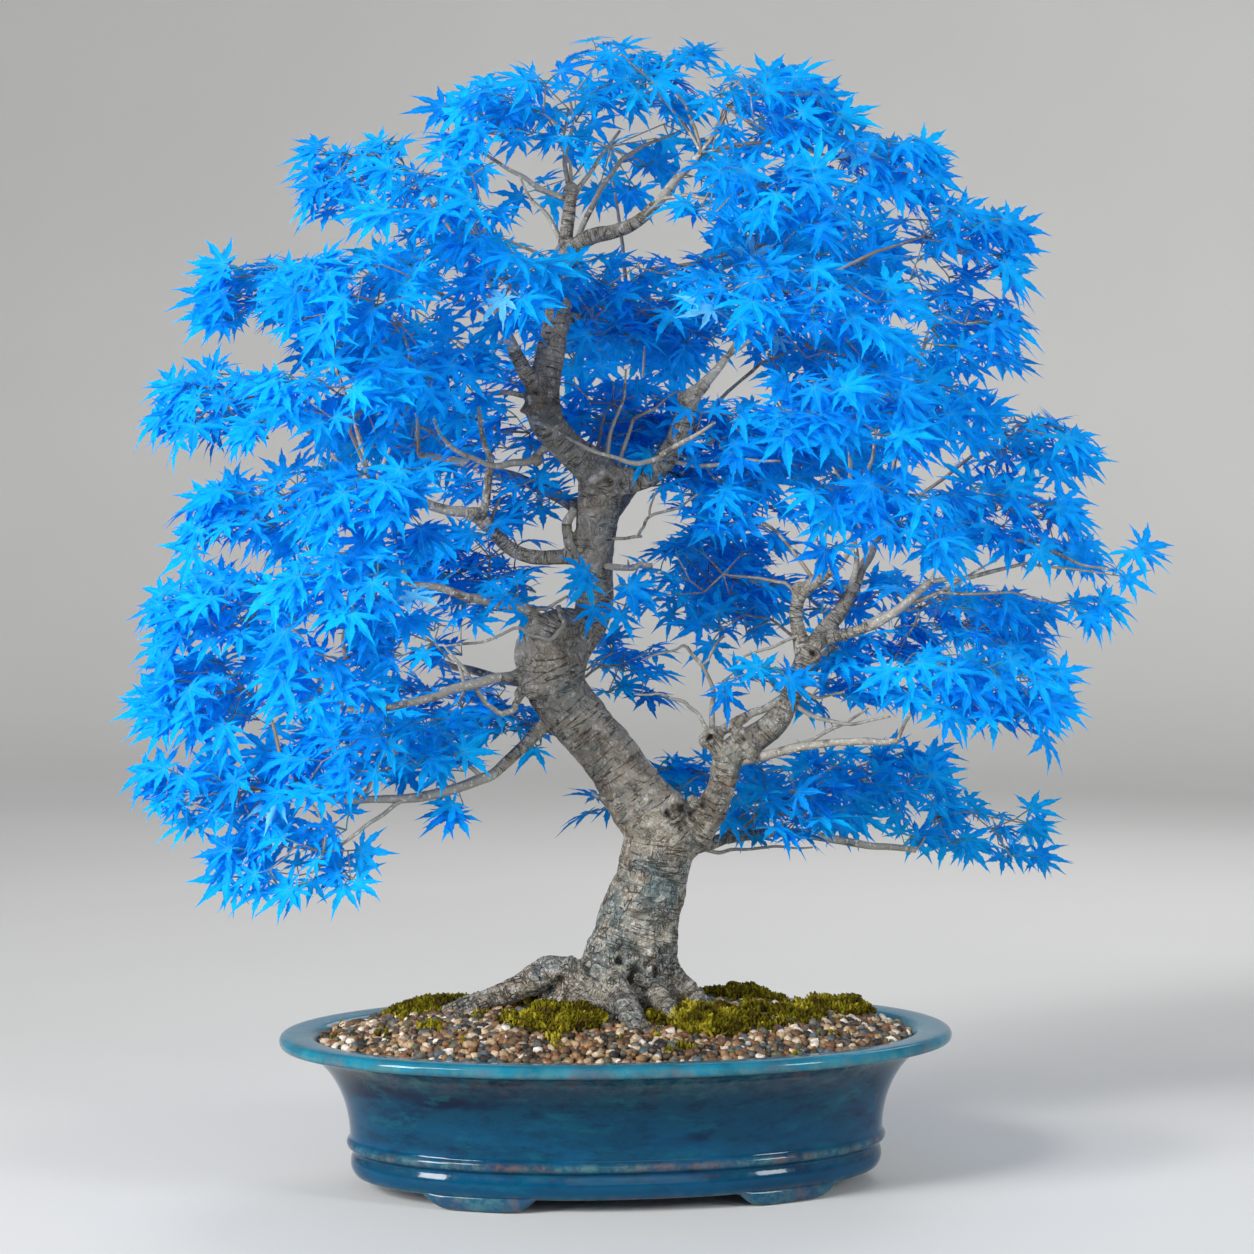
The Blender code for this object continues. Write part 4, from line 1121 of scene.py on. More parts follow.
def small_part_material(name, colour, metallic, low, high):
    """Moulded net or drawn wire, with faint wear."""
    made, tree, shader, place = new_material(name)
    base = use(
        tree, mottle_group(), Vector=place, Broad_Scale=200.0, Fine_Scale=900.0, Main=colour,
        Dark=[part * 0.6 for part in colour], Light=[min(1.0, part * 1.4) for part in colour],
    )
    rough = between(tree, base.outputs["Fine"], 0.3, 0.7, low, high)
    finish_look(tree, shader, base.outputs["Color"], rough)
    shader.inputs["Metallic"].default_value = metallic
    return made


def floor_material():
    """A pale matt floor that is very slightly uneven in tone."""
    tones = bpy.context.scene.bonsai_stage
    made, tree, shader, place = new_material("pale_floor")
    soft = between(tree, cloud(tree, place, 1.5, 2.0), 0.3, 0.7)
    colour = mix(tree, soft, tones.floor_colour, [part * 0.97 for part in tones.floor_colour])
    tree.links.new(colour, shader.inputs["Base Color"])
    shader.inputs["Roughness"].default_value = 0.75
    return made


# ---- pot


def make_pot():
    """The pot's turned wall, lip, bead and band, with its two drain holes."""
    sizes = bpy.context.scene.bonsai_pot
    rings = []
    for inset, height, _ in POT_WALL:
        length = sizes.rim_half_length - inset * MM
        width = sizes.rim_half_width - inset * MM
        rings.append(oval(length, width, height * MM, sizes.oval_sides))
    shape = loft(rings, [row[2] for row in POT_WALL])
    glaze = glaze_material()
    pot = finished("glazed_pot", shape, glaze)
    subdivide(pot, 1)
    freeze(pot)
    for side in (-1, 1):
        drill = bmesh.new()
        middle = Matrix.Translation(POT_PLACE + Vector((side * DRAIN_OFFSET, 0, DRILL_HEIGHT)))
        bmesh.ops.create_cone(
            drill, cap_ends=True, segments=DRILL_SIDES, radius1=DRAIN_RADIUS, radius2=DRAIN_RADIUS,
            depth=DRILL_LENGTH, matrix=middle,
        )
        cutter = finished(f"drill_{side}", drill)
        step = pot.modifiers.new("drain", "BOOLEAN")
        step.operation = "DIFFERENCE"
        step.object = cutter
        freeze(pot)
        bpy.data.objects.remove(cutter, do_unlink=True)
    pot.data.set_sharp_from_angle(angle=math.radians(50))
    hand_over(pot, "blue_glaze", "pot")
    feet = bmesh.new()
    for across in (-1, 1):
        for back in (-1, 1):
            part = one_foot(across, back)
            held = bpy.data.meshes.new("foot")
            part.to_mesh(held)
            part.free()
            feet.from_mesh(held)
            bpy.data.meshes.remove(held)
    bmesh.ops.recalc_face_normals(feet, faces=feet.faces)
    feet = finished("pot_feet", feet, glaze)
    subdivide(feet, 2)
    freeze(feet)
    hand_over(feet, "blue_glaze")


def one_foot(across, back):
    """A bracket foot that follows the oval, with its lower edge sweeping up at both ends."""
    sizes = bpy.context.scene.bonsai_pot
    length = sizes.rim_half_length - FOOT_INSET
    width = sizes.rim_half_width - FOOT_INSET
    rings = []
    for along, low in FOOT_EDGE:
        x = along * MM
        y = width * (1 - (x / length) ** OVAL_POWER) ** (1 / OVAL_POWER)
        steep = OVAL_POWER - 1
        out = Vector(((x / length) ** steep / length, (y / width) ** steep / width, 0))
        out.normalize()
        outer = Vector((x, y, 0))
        low = low * MM
        section = [
            (0.0, FOOT_TOP), (0.0003, low + 0.45 * (FOOT_TOP - low)), (0.0010, low + 0.0012),
            (0.0022, low), (FOOT_DEPTH - 0.0015, low), (FOOT_DEPTH, low + 0.0015),
            (FOOT_DEPTH, FOOT_TOP),
        ]
        ring = []
        for inward, height in section:
            point = outer - out * inward
            ring.append(POT_PLACE + Vector((point.x * across, point.y * back, height)))
        rings.append(ring)
    return loft(rings, [FOOT_THINNESS] * len(rings))


# ---- wood


def split_limb(route):
    """A limb's thick part, and its thin end that starts inside the thick part."""
    thick = [row for row in route if row[3] >= THICKEST_TWIG]
    thin = route[len(thick):]
    if not thin:
        return thick, []
    if not thick:
        return [], route
    across, back, up, radius = thick[-1]
    before = thick[-2] if len(thick) > 1 else thick[-1]
    inner = (*before[:3], before[3] * 0.5)
    return thick, [inner, (across, back, up, radius * 0.92), *thin]


def grain_samples(routes):
    """Points along the routes with their radius, length so far and two cross directions."""
    rows = []
    for route in routes:
        length = 0.0
        for (start, first), (end, last) in zip(route, route[1:]):
            way = end - start
            along = way.normalized()
            side = along.cross(Vector((0, 1, 0)) if abs(along.y) < 0.8 else Vector((1, 0, 0)))
            side.normalize()
            other = along.cross(side)
            steps = max(2, math.ceil(way.length / GRAIN_STEP))
            for step in range(steps):
                share = step / steps
                point = start.lerp(end, share)
                radius = first + (last - first) * share
                rows.append((*point, *along, *side, *other, radius, length + way.length * share))
            length += way.length
    return np.array(rows)


def lay_grain(mesh, samples):
    """Writes each point's place along and round its limb, and gives those with the radius."""
    count = len(mesh.vertices)
    points = np.empty(count * 3)
    mesh.vertices.foreach_get("co", points)
    points = points.reshape(-1, 3)
    grain = np.empty((count, 3))
    radii = np.empty(count)
    for start in range(0, count, GRAIN_BATCH):
        batch = slice(start, start + GRAIN_BATCH)
        part = points[batch]
        gaps = part[:, None, :] - samples[None, :, 0:3]
        score = np.linalg.norm(gaps, axis=2) - samples[None, :, 12]
        best = score.argmin(axis=1)
        offset = gaps[np.arange(len(part)), best]
        chosen = samples[best]
        grain[batch, 0] = (offset * chosen[:, 6:9]).sum(axis=1)
        grain[batch, 1] = (offset * chosen[:, 9:12]).sum(axis=1)
        grain[batch, 2] = chosen[:, 13] + (offset * chosen[:, 3:6]).sum(axis=1)
        radii[batch] = chosen[:, 12]
    write_vectors(mesh, "grain", grain)
    return points, grain, radii


def lay_marks(mesh, points):
    """Writes how much lichen, dead wood and painted shade in the hollows each point has."""
    values = np.zeros((len(points), 3))
    ragged = np.array([noise.noise(Vector(point) * 190) for point in points])
    for across, back, up, reach in LICHEN:
        gap = np.linalg.norm(points - np.array(tree_point(across, back, up)), axis=1)
        values[:, 0] = np.maximum(values[:, 0], np.clip(1.3 - gap / (reach * MM), 0, 1))
    for across, back, up, radius, kind in KNOTS:
        gap = np.linalg.norm(points - np.array(tree_point(across, back, up)), axis=1) / (radius * MM)
        gap += 0.75 * ragged
        if kind == "burl":
            values[:, 1] = np.maximum(values[:, 1], 0.12 * np.clip(1.25 - gap, 0, 1))
        if kind == "nub":
            values[:, 1] = np.maximum(values[:, 1], 0.55 * np.clip(2.0 - 1.5 * gap, 0, 1))
        if kind == "hole":
            values[:, 2] = np.maximum(values[:, 2], np.clip((1.25 - gap) * 1.6, 0, 1))
    write_vectors(mesh, "marks", values)
    return values


def bark_height(point, grain, radius):
    """How far the bark stands out at a point, in metres: lumps, ring grooves and scales."""
    girth = min(1.0, 0.15 + radius / 0.018)
    place = Vector(point)
    foot = max(0.0, min(1.0, (0.165 - place.z) / 0.06))
    lumps = sum(noise.noise(place * fine) * (high + more * foot) for fine, high, more in BARK_LUMPS)
    scales = noise.fractal(place * 300, 1.0, 2.0, 2) * (0.26 + 0.42 * foot)
    along = Vector((grain[0] * 22, grain[1] * 22, grain[2] * 105))
    groove = -0.35 * max(0.0, 1 - abs(noise.noise(along)) / 0.10)
    across = Vector((grain[0] * 330, grain[1] * 330, grain[2] * 45))
    furrow = -1.2 * max(0.0, 0.12 - abs(noise.noise(across))) / 0.12 * foot
    return MM * girth * (lumps + scales + groove + furrow * 0.8)


def knot_meshes(shape):
    """Adds the burls and the pale stubs to the wood before it is fused."""
    for across, back, up, radius, kind in KNOTS:
        if kind == "hole":
            continue
        size = radius * MM
        stretch = Matrix.Diagonal((size, size * 0.85, size * 0.92, 1.0))
        middle = Matrix.Translation(tree_point(across, back, up))
        made = bmesh.ops.create_icosphere(shape, subdivisions=2, radius=1.0, matrix=middle @ stretch)
        for vert in made["verts"]:
            vert.co += noise.noise_vector(vert.co * 170) * size * 0.55


def make_wood():
    """Trunk, roots and thick limbs fused into one skin with bark relief."""
    sizes = bpy.context.scene.bonsai_wood
    thick = [tree_route(route) for route in (TRUNK, LEADER, *ROOTS.values(), *RIDGES)]
    for route in LIMBS.values():
        stout = split_limb(route)[0]
        if len(stout) > 1:
            thick.append(tree_route(stout))
    for route in BARE_TWIGS.values():
        if route[0][3] >= THICKEST_TWIG - 0.2:
            thick.append(tree_route(route[:3]))
    shape = tubes(thick, *TRUNK_TUBE)
    knot_meshes(shape)
    wood = finished("trunk_and_limbs", shape)
    fuse = wood.modifiers.new("fuse", "REMESH")
    fuse.mode = "VOXEL"
    fuse.voxel_size = sizes.skin_size
    ease = wood.modifiers.new("ease", "SMOOTH")
    ease.factor = 0.5
    ease.iterations = 4
    freeze(wood)
    mesh = wood.data
    routes = [tree_route(route) for route in (TRUNK, LEADER, *ROOTS.values(), *LIMBS.values())]
    points, grain, radii = lay_grain(mesh, grain_samples(routes))
    marks = lay_marks(mesh, points)
    normals = np.empty(len(points) * 3)
    mesh.vertex_normals.foreach_get("vector", normals)
    normals = normals.reshape(-1, 3)
    rise = np.array([bark_height(*row) for row in zip(points, grain, radii)])
    rise -= marks[:, 2] * HOLLOW_DEPTH
    moved = points + normals * rise[:, None]
    mesh.vertices.foreach_set("co", moved.ravel())
    mesh.update()
    mesh.shade_smooth()
    mesh.materials.append(bark_material())
    hand_over(wood, "bark", "trunk_and_branches")


def make_branch_ends():
    """The limbs' thin ends and the bare spurs, with a slight crook at each bud."""
    routes = []
    for route in LIMBS.values():
        thin = split_limb(route)[1]
        if thin:
            routes.append(tree_route(thin))
    for route in BARE_TWIGS.values():
        routes.append(tree_route(route))
    shape = tubes([crooked(route, END_CROOK) for route in routes], *END_TUBE)
    write_tone(shape, 0.30, 0.30, 30)
    ends = finished("branch_ends", shape, twig_material())
    hand_over(ends, "bark")


def crooked(route, amount):
    """The route with small bends and a swelling at each bud, about a centimetre apart."""
    bent = [route[0]]
    for (start, first), (end, last) in zip(route, route[1:]):
        pieces = max(2, round((end - start).length / BUD_GAP))
        for piece in range(1, pieces):
            share = piece / pieces
            place = start.lerp(end, share)
            swell = 1.0 + 0.22 * noise.noise(place * 320)
            push = noise.noise_vector(place * 110) * amount
            bent.append((place + push, (first + (last - first) * share) * swell))
        bent.append((end, last))
    return bent


# ---- sprays


def limb_points():
    """Every point that the limbs' routes pass through."""
    rows = [LEADER, *LIMBS.values()]
    return [tree_point(*row[:3]) for route in rows for row in route]


def nearest_limb(middle):
    """The limb point a spray's twig leaves from: the nearest, a way down counting as longer."""
    def reach(point):
        return (point - middle).length + DOWN_COST * max(0.0, point.z - middle.z)
    return min(limb_points(), key=reach)


class Spray:
    """One flat cushion of leaves: its twigs and where its leaves sit."""

    def __init__(self, key, middle, half, skin=None):
        self.key = key
        self.chance = random.Random(key)
        self.middle = middle
        self.half = half
        self.skin = skin
        self.start = nearest_limb(self.middle)
        away = self.middle - self.start
        self.away = Vector((away.x, away.y, 0)).normalized()
        from_pot = self.middle - POT_PLACE
        self.outward = Vector((from_pot.x, from_pot.y, 0)).normalized()
        self.points = []
        self.scatter_points()
        self.join_points()

    def scatter_points(self):
        """Twig joints spread through the cushion, none too near another."""
        sizes = bpy.context.scene.bonsai_leaves
        gap = sizes.joint_spacing * SPARSE.get(self.key, 1.0)
        inset = sizes.edge_margin if self.skin else INNER_MARGIN
        reach_x = max(self.half.x - inset, self.half.x * 0.45)
        reach_y = max(self.half.y - inset, self.half.y * 0.45)
        inner = self.middle - self.outward * inset
        back = self.away * min(reach_x, reach_y) * 0.7
        self.points.append(self.on_cushion(inner.x - back.x, inner.y - back.y, 0.5))
        for _ in range(JOINT_TRIES):
            turn = self.chance.uniform(0, 2 * math.pi)
            share = math.sqrt(self.chance.random())
            x = inner.x + math.cos(turn) * share * reach_x
            y = inner.y + math.sin(turn) * share * reach_y
            point = self.on_cushion(x, y, self.chance.random())
            if all((point - other).length > gap for other in self.points):
                self.points.append(point)

    def on_cushion(self, x, y, share):
        """A point at (x, y), from the cushion's top down to a little under it."""
        sizes = bpy.context.scene.bonsai_leaves
        place = top_at(self.skin, x, y)[0] if self.skin else None
        height = (place.z if place else self.middle.z) + CUSHION_RISE
        depth = sizes.spray_depth * min(1.0, self.half.x / DEEP_SPRAY)
        return Vector((x, y, height - share * depth))

    def join_points(self):
        """Joins each joint to the one before it, so that twigs fork forwards."""
        root = self.points[0]
        self.order = sorted(
            range(1, len(self.points)), key=lambda index: (self.points[index] - root).length
        )
        self.parents = [-1] * len(self.points)
        self.headings = {0: self.away}
        placed = [0]
        for index in self.order:
            point = self.points[index]
            best = min(placed, key=lambda other: self.cost(point, other))
            self.parents[index] = best
            self.headings[index] = (point - self.points[best]).normalized()
            placed.append(index)
        self.children = {index: [] for index in range(len(self.points))}
        for index in self.order:
            self.children[self.parents[index]].append(index)

    def cost(self, point, index):
        """How far a joint is from another, with sharp turns counted as longer."""
        step = point - self.points[index]
        turn = 1 - step.normalized().dot(self.headings[index])
        return step.length * (1 + TURN_COST * turn)

    def twig_routes(self):
        """Long twigs first, each side twig starting on its parent."""
        weight = {}
        for index in reversed([0, *self.order]):
            weight[index] = 1 + sum(weight[child] for child in self.children[index])

        def radius(index):
            return min(0.85, 0.26 + 0.075 * math.sqrt(weight[index])) * MM

        routes = []
        starts = [(None, 0)]
        while starts:
            parent, index = starts.pop()
            if parent is None:
                route = self.carrying_twig(radius(0))
            else:
                route = [(self.points[parent], radius(index)), (self.points[index], radius(index))]
            while self.children[index]:
                ordered = sorted(self.children[index], key=lambda child: weight[child])
                following = ordered.pop()
                starts.extend((index, other) for other in ordered)
                index = following
                route.append((self.points[index], radius(index)))
            if len(route) > 1:
                routes.append(route)
        return routes

    def carrying_twig(self, end_radius):
        """From the limb to the cushion's first joint, arched, with a bend or two."""
        end = self.points[0]
        way = end - self.start
        thick = min(1.25, 0.75 + way.length * 9) * MM
        route = [(self.start, thick)]
        for share in (0.25, 0.5, 0.75):
            point = self.start.lerp(end, share)
            point.z += 0.28 * way.length * share * (1 - share)
            point += noise.noise_vector(point * 60) * 0.006
            route.append((point, thick + (end_radius - thick) * share))
        route.append((end, end_radius))
        return route

    def leaf_places(self):
        """Where each leaf's stalk starts, how the leaf hangs, and its size and tone."""
        sizes = bpy.context.scene.bonsai_leaves
        chance = self.chance
        places = []
        for index, point in enumerate(self.points):
            heading = self.headings[index]
            tip = not self.children[index]
            turns = TIP_LEAVES if tip else SIDE_LEAVES
            if not tip and chance.random() < SINGLE_LEAVES:
                turns = (chance.choice(SIDE_LEAVES),)
            for turn in turns:
                angle = math.radians(turn + chance.uniform(-LEAF_STRAY, LEAF_STRAY))
                ahead = Matrix.Rotation(angle, 3, "Z") @ Vector((heading.x, heading.y, 0))
                size = sizes.leaf_length * chance.uniform(*LEAF_SIZES)
                if tip:
                    size *= TIP_LEAF_SIZE
                places.append(self.hang(point, ahead, size))
        return places

    def hang(self, point, ahead, size):
        """A leaf's matrix: it hangs outwards and down, and turns its face to the light."""
        chance = self.chance
        spot = to_tree(point - POT_PLACE)
        depth = max(-1.0, min(1.0, (spot.y - 0.020) / 0.030))
        facing = Matrix.Rotation(TREE_TURN, 3, "Z") @ Vector((0.55 * spot.x / 0.25, depth, 0))
        jitter = Vector((chance.gauss(0, 0.26), chance.gauss(0, 0.26), chance.gauss(0, 0.18)))
        face = (Vector((0, 0, 0.66)) + facing * 0.66 + jitter).normalized()
        wander = Vector((chance.gauss(0, 0.45), chance.gauss(0, 0.45), 0))
        tip = ahead * 0.70 + self.outward * 0.55 + wander
        tip.z = -chance.uniform(-0.30, 0.42)
        tip = (tip - face * tip.dot(face)).normalized()
        which = chance.randrange(len(LEAF_FORMS))
        droop = math.radians(LEAF_FORMS[which][1])
        y_axis = tip * math.cos(droop) + face * math.sin(droop)
        z_axis = face * math.cos(droop) - tip * math.sin(droop)
        x_axis = y_axis.cross(z_axis)
        turn = Matrix((x_axis, y_axis, z_axis)).transposed().to_4x4()
        matrix = Matrix.Translation(point) @ turn @ Matrix.Scale(size, 4)
        tone = min(0.96, max(0.0, chance.gauss(0.55, 0.22)))
        if chance.random() < PALE_LEAVES:
            tone = 1.0
        return which, matrix, tone


def leaf_shape(seed, curl, droop):
    """A seven-lobed toothed blade on its stalk, the middle lobe one unit long."""
    chance = random.Random(seed)
    shape = bmesh.new()
    rib = shape.verts.layers.float.new("rib")
    reach = shape.verts.layers.float.new("reach")
    lobes = [
        (math.radians(angle + chance.uniform(-5, 5)), length * chance.uniform(0.92, 1.08))
        for angle, length in LOBES
    ]

    def vert(angle, along, aside, edge):
        ahead = Vector((math.sin(angle), math.cos(angle), 0))
        side = Vector((math.cos(angle), -math.sin(angle), 0))
        point = ahead * along + side * aside
        radius = point.length
        point.z = -curl * radius * radius + 0.22 * abs(aside) * min(1.0, radius * 2)
        made = shape.verts.new(point)
        made[rib] = edge
        made[reach] = radius
        return made

    heart = vert(0, 0, 0, 0)
    notch_turn, notch_reach = HEART_NOTCH
    notches = [vert(math.radians(-notch_turn), notch_reach, 0, 1)]
    for (left, first), (right, second) in zip(lobes, lobes[1:]):
        depth = SINUS * min(first, second) * chance.uniform(0.9, 1.1)
        notches.append(vert((left + right) / 2, depth, 0, 1))
    notches.append(vert(math.radians(notch_turn), notch_reach, 0, 1))
    for index, (angle, length) in enumerate(lobes):
        bend = vert(angle, LOBE_BEND * length, 0, 0)
        tip = vert(angle + chance.uniform(-0.06, 0.06), length, 0, 0.3)
        for side, notch in ((-1, notches[index]), (1, notches[index + 1])):
            edge = [
                vert(angle, along * length, side * wide * length * chance.uniform(0.9, 1.1), 1)
                for along, wide in LOBE_EDGE
            ]
            inner = [heart, bend, edge[2], edge[1], edge[0], notch]
            outer = [bend, tip, edge[4], edge[3], edge[2]]
            for face in (inner, outer):
                shape.faces.new(face if side < 0 else face[::-1])
    lower = Matrix.Rotation(-math.radians(droop), 4, "X")
    bmesh.ops.transform(shape, matrix=Matrix.Translation((0, STALK, 0.03)) @ lower, verts=shape.verts)
    circle = bmesh.ops.create_circle(
        shape, segments=3, radius=STALK_WIDTH, matrix=Matrix.Rotation(math.radians(-90), 4, "X")
    )
    start = circle["verts"]
    edges = list({edge for made in start for edge in made.link_edges})
    for made in start:
        made[reach] = -1
    for rise in ((0, STALK * 0.5, 0.035), (0, STALK * 0.52, -0.008)):
        ends, edges = drawn_out(shape, edges)
        bmesh.ops.translate(shape, verts=ends, vec=rise)
        for made in ends:
            made[reach] = -1
    return stored(f"leaf_{seed}", shape)


def make_sprays():
    """Every leaf spray: a piece of leaves for each CAD cushion, the inner ones, and all twigs."""
    forms = [leaf_shape(seed, curl, droop) for seed, (curl, droop) in enumerate(LEAF_FORMS)]
    look = leaf_material()
    routes = []
    for key in sorted(frame["nodes"]):
        if not key.startswith("leaf_spray_"):
            continue
        low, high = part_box(key)
        spray = Spray(key, (low + high) / 2, (high - low) / 2, surface_of(key))
        routes.extend(spray.twig_routes())
        crowd = scatter(forms, spray.leaf_places())
        leaves = finished(key.replace("leaf_spray", "leaves"), crowd, look, flat=True)
        hand_over(leaves, "leaf_blue", key)
    places = []
    for key, (across, back, up, half_across, half_back) in INNER_SPRAYS.items():
        half = Vector((half_across, half_back, 0)) * MM
        spray = Spray(key, tree_point(across, back, up), half)
        routes.extend(spray.twig_routes())
        places.extend(spray.leaf_places())
    inner = finished("leaves_near_trunk", scatter(forms, places), look, flat=True)
    hand_over(inner, "leaf_blue")
    shape = tubes([crooked(route, TWIG_CROOK) for route in routes], *TWIG_TUBE)
    write_tone(shape, 0.55, 0.5, 25)
    twigs = finished("fine_twigs", shape, twig_material())
    hand_over(twigs, "bark")
    for form in forms:
        bpy.data.meshes.remove(form)


# ---- ground


def stone_shape(seed):
    """A rounded river stone about one unit across."""
    chance = random.Random(seed)
    shape = bmesh.new()
    bmesh.ops.create_cube(shape, size=1.0)
    bmesh.ops.subdivide_edges(shape, edges=shape.edges, cuts=1, use_grid_fill=True)
    squash = Vector((1.0, chance.uniform(0.72, 0.95), chance.uniform(0.55, 0.8)))
    corner = chance.uniform(0.45, 0.8)
    for vert in shape.verts:
        ball = vert.co.normalized() * 0.5
        point = vert.co.lerp(ball, corner) * chance.uniform(0.9, 1.1)
        vert.co = Vector((point.x * squash.x, point.y * squash.y, point.z * squash.z))
    return stored(f"stone_{seed}", shape)


def spread(chance, gap, jitter, skin):
    """Places on the gravel in a loose grid."""
    low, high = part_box("gravel")
    places = []
    for row in range(int((high.y - low.y) / gap) + 1):
        for column in range(int((high.x - low.x) / gap) + 1):
            x = low.x + (column + 0.5 * (row % 2)) * gap + chance.uniform(-jitter, jitter) * gap
            y = low.y + row * gap + chance.uniform(-jitter, jitter) * gap
            place, _ = top_at(skin, x, y)
            if place is not None and place.z > GRAVEL_EDGE:
                places.append(place)
    return places


def is_covered(cushions, place, depth):
    """Whether a moss cushion lies over the place by more than a depth."""
    tops = [top_at(cushion, place.x, place.y)[0] for cushion in cushions]
    return any(top is not None and top.z > place.z + depth for top in tops)


def make_gravel():
    """Loose stones of two sizes bedded in the mound."""
    sizes = bpy.context.scene.bonsai_ground
    chance = random.Random("gravel")
    bed = surface_of("gravel")
    cushions = [surface_of(key) for key in frame["nodes"] if key.startswith("moss_")]
    wood = surface_of("trunk_and_branches")
    shapes = [stone_shape(seed) for seed in range(STONE_FORMS)]
    heaps = {"gravel_stones": [], "fine_gravel_front": [], "fine_gravel_back": []}
    for gap, low, high, sink in STONE_LAYERS:
        for place in spread(chance, sizes.stone_size * gap, 0.45, bed):
            size = sizes.stone_size * chance.uniform(low, high)
            turn = Matrix.Rotation(chance.uniform(0, 2 * math.pi), 4, "Z")
            lean = Matrix.Rotation(chance.gauss(0, 0.4), 4, "X")
            lean = lean @ Matrix.Rotation(chance.gauss(0, 0.4), 4, "Y")
            rise = size * (sink + chance.uniform(-0.08, 0.22))
            which = chance.randrange(len(shapes))
            tone = chance.random()
            if wood.find_nearest(place)[3] < 0.001:
                continue
            if is_covered(cushions, place, 0.002):
                continue
            lifted = Matrix.Translation(place + Vector((0, 0, rise)))
            matrix = lifted @ turn @ lean @ Matrix.Scale(size, 4)
            heap = "gravel_stones"
            if sink < 0:
                heap = "fine_gravel_front" if place.y < POT_PLACE.y else "fine_gravel_back"
            heaps[heap].append((which, matrix, tone))
    look = stone_material()
    for name, places in heaps.items():
        hand_over(finished(name, scatter(shapes, places), look), "gravel")
    for node, name, main, dark, light, grain in EARTHS:
        dress(node, earth_material(name, main, dark, light, grain))
    for shape in shapes:
        bpy.data.meshes.remove(shape)


def moss_lift(place):
    """How far the moss rises in soft hummocks at a place."""
    return sum(height * noise.noise(place * fine) for height, fine in MOSS_HUMMOCKS)


def one_tuft(chance, place, normal, size, count):
    """A short shoot on the moss, leaning at random."""
    drift = noise.noise(place * 150)
    lean = Vector((chance.gauss(0, 0.55), chance.gauss(0, 0.55), 0.45))
    axis = (normal + lean).normalized()
    turn = Vector((0, 0, 1)).rotation_difference(axis).to_matrix().to_4x4()
    size *= chance.uniform(0.65, 1.35) * (1 + 0.35 * drift)
    shape = Matrix.Diagonal((size * 0.9, size * 0.9, size, 1))
    tone = min(1.0, max(0.0, 0.52 + 0.6 * drift + chance.gauss(0, 0.16)))
    which = chance.randrange(count)
    return which, Matrix.Translation(place) @ turn @ shape, tone


def tuft_shape(seed):
    """A tiny leafy shoot of moss: a slim spire."""
    chance = random.Random(seed)
    shape = bmesh.new()
    bmesh.ops.create_cone(
        shape, cap_ends=True, segments=5, radius1=0.36, radius2=0.10, depth=1.0,
        matrix=Matrix.Translation((0, 0, 0.45)),
    )
    for vert in shape.verts:
        vert.co.x += chance.uniform(-0.12, 0.12)
        vert.co.y += chance.uniform(-0.12, 0.12)
    return stored(f"tuft_{seed}", shape)


def make_moss():
    """Each moss cushion: a lumpy bed under thousands of short shoots, and loose sprigs round them."""
    sizes = bpy.context.scene.bonsai_ground
    look = moss_material()
    shapes = [tuft_shape(seed) for seed in range(MOSS_FORMS)]
    cushions = {key: surface_of(key) for key in sorted(frame["nodes"]) if key.startswith("moss_")}
    for key, skin in cushions.items():
        chance = random.Random(key)
        bed = bmesh.new()
        bed.from_mesh(frame["nodes"][key].data)
        bmesh.ops.remove_doubles(bed, verts=bed.verts, dist=WELD_GAP)
        bmesh.ops.subdivide_edges(bed, edges=bed.edges, cuts=3, use_grid_fill=True)
        layer = bed.verts.layers.float.new("tone")
        low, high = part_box(key)
        for vert in bed.verts:
            share = (vert.co.z - low.z) / (high.z - low.z)
            vert.co.z += share * moss_lift(vert.co)
            # Painted shade: the bed under the shoots takes the darkest tones, darker the lower it lies.
            vert[layer] = 0.05 + 0.30 * share
        held = bpy.data.meshes.new("bed")
        bed.to_mesh(held)
        bed.free()
        places = []
        step = sizes.shoot_spacing
        for row in range(int((high.y - low.y) / step)):
            for column in range(int((high.x - low.x) / step)):
                x = low.x + (column + chance.uniform(0, 1)) * step
                y = low.y + (row + chance.uniform(0, 1)) * step
                place, normal = top_at(skin, x, y)
                if place is None:
                    continue
                place.z += moss_lift(place) - 0.0004
                places.append(one_tuft(chance, place, normal, sizes.shoot_length, len(shapes)))
        crowd = scatter(shapes, places)
        crowd.from_mesh(held, face_normals=False, vertex_normals=False)
        bpy.data.meshes.remove(held)
        cushion = finished(key.replace("moss", "moss_cushion"), crowd, look)
        cushion.data.set_sharp_from_angle(angle=math.radians(60))
        hand_over(cushion, "moss", key)
    loose = scatter(shapes, sprig_places(cushions.values(), len(shapes)))
    hand_over(finished("moss_sprigs", loose, look), "moss")
    for shape in shapes:
        bpy.data.meshes.remove(shape)


def sprig_places(cushions, count):
    """Loose moss that creeps over the gravel round the cushions and the roots."""
    sizes = bpy.context.scene.bonsai_ground
    chance = random.Random("sprigs")
    bed = surface_of("gravel")
    wood = surface_of("trunk_and_branches")
    places = []
    for place in spread(chance, sizes.shoot_spacing * 1.05, 0.5, bed):
        spot = to_tree(place - POT_PLACE) / MM
        depth = 0.0
        for across, back, reach_across, reach_back in MOSS_DRIFTS:
            gap = math.hypot((spot.x - across) / reach_across, (spot.y - back) / reach_back)
            depth = max(depth, 1.0 - gap)
        cover = depth * 1.5 + 0.9 * noise.noise(place * 75) + 0.5 * noise.noise(place * 240)
        if cover < THIN_MOSS or wood.find_nearest(place)[3] < 0.0005:
            continue
        if is_covered(cushions, place, 0.001):
            continue
        lifted = place + Vector((0, 0, min(0.0042, 0.0012 + 0.0045 * (cover - THIN_MOSS))))
        size = sizes.shoot_length * min(1.2, 0.75 + (cover - THIN_MOSS))
        places.append(one_tuft(chance, lifted, Vector((0, 0, 1)), size, count))
    return places


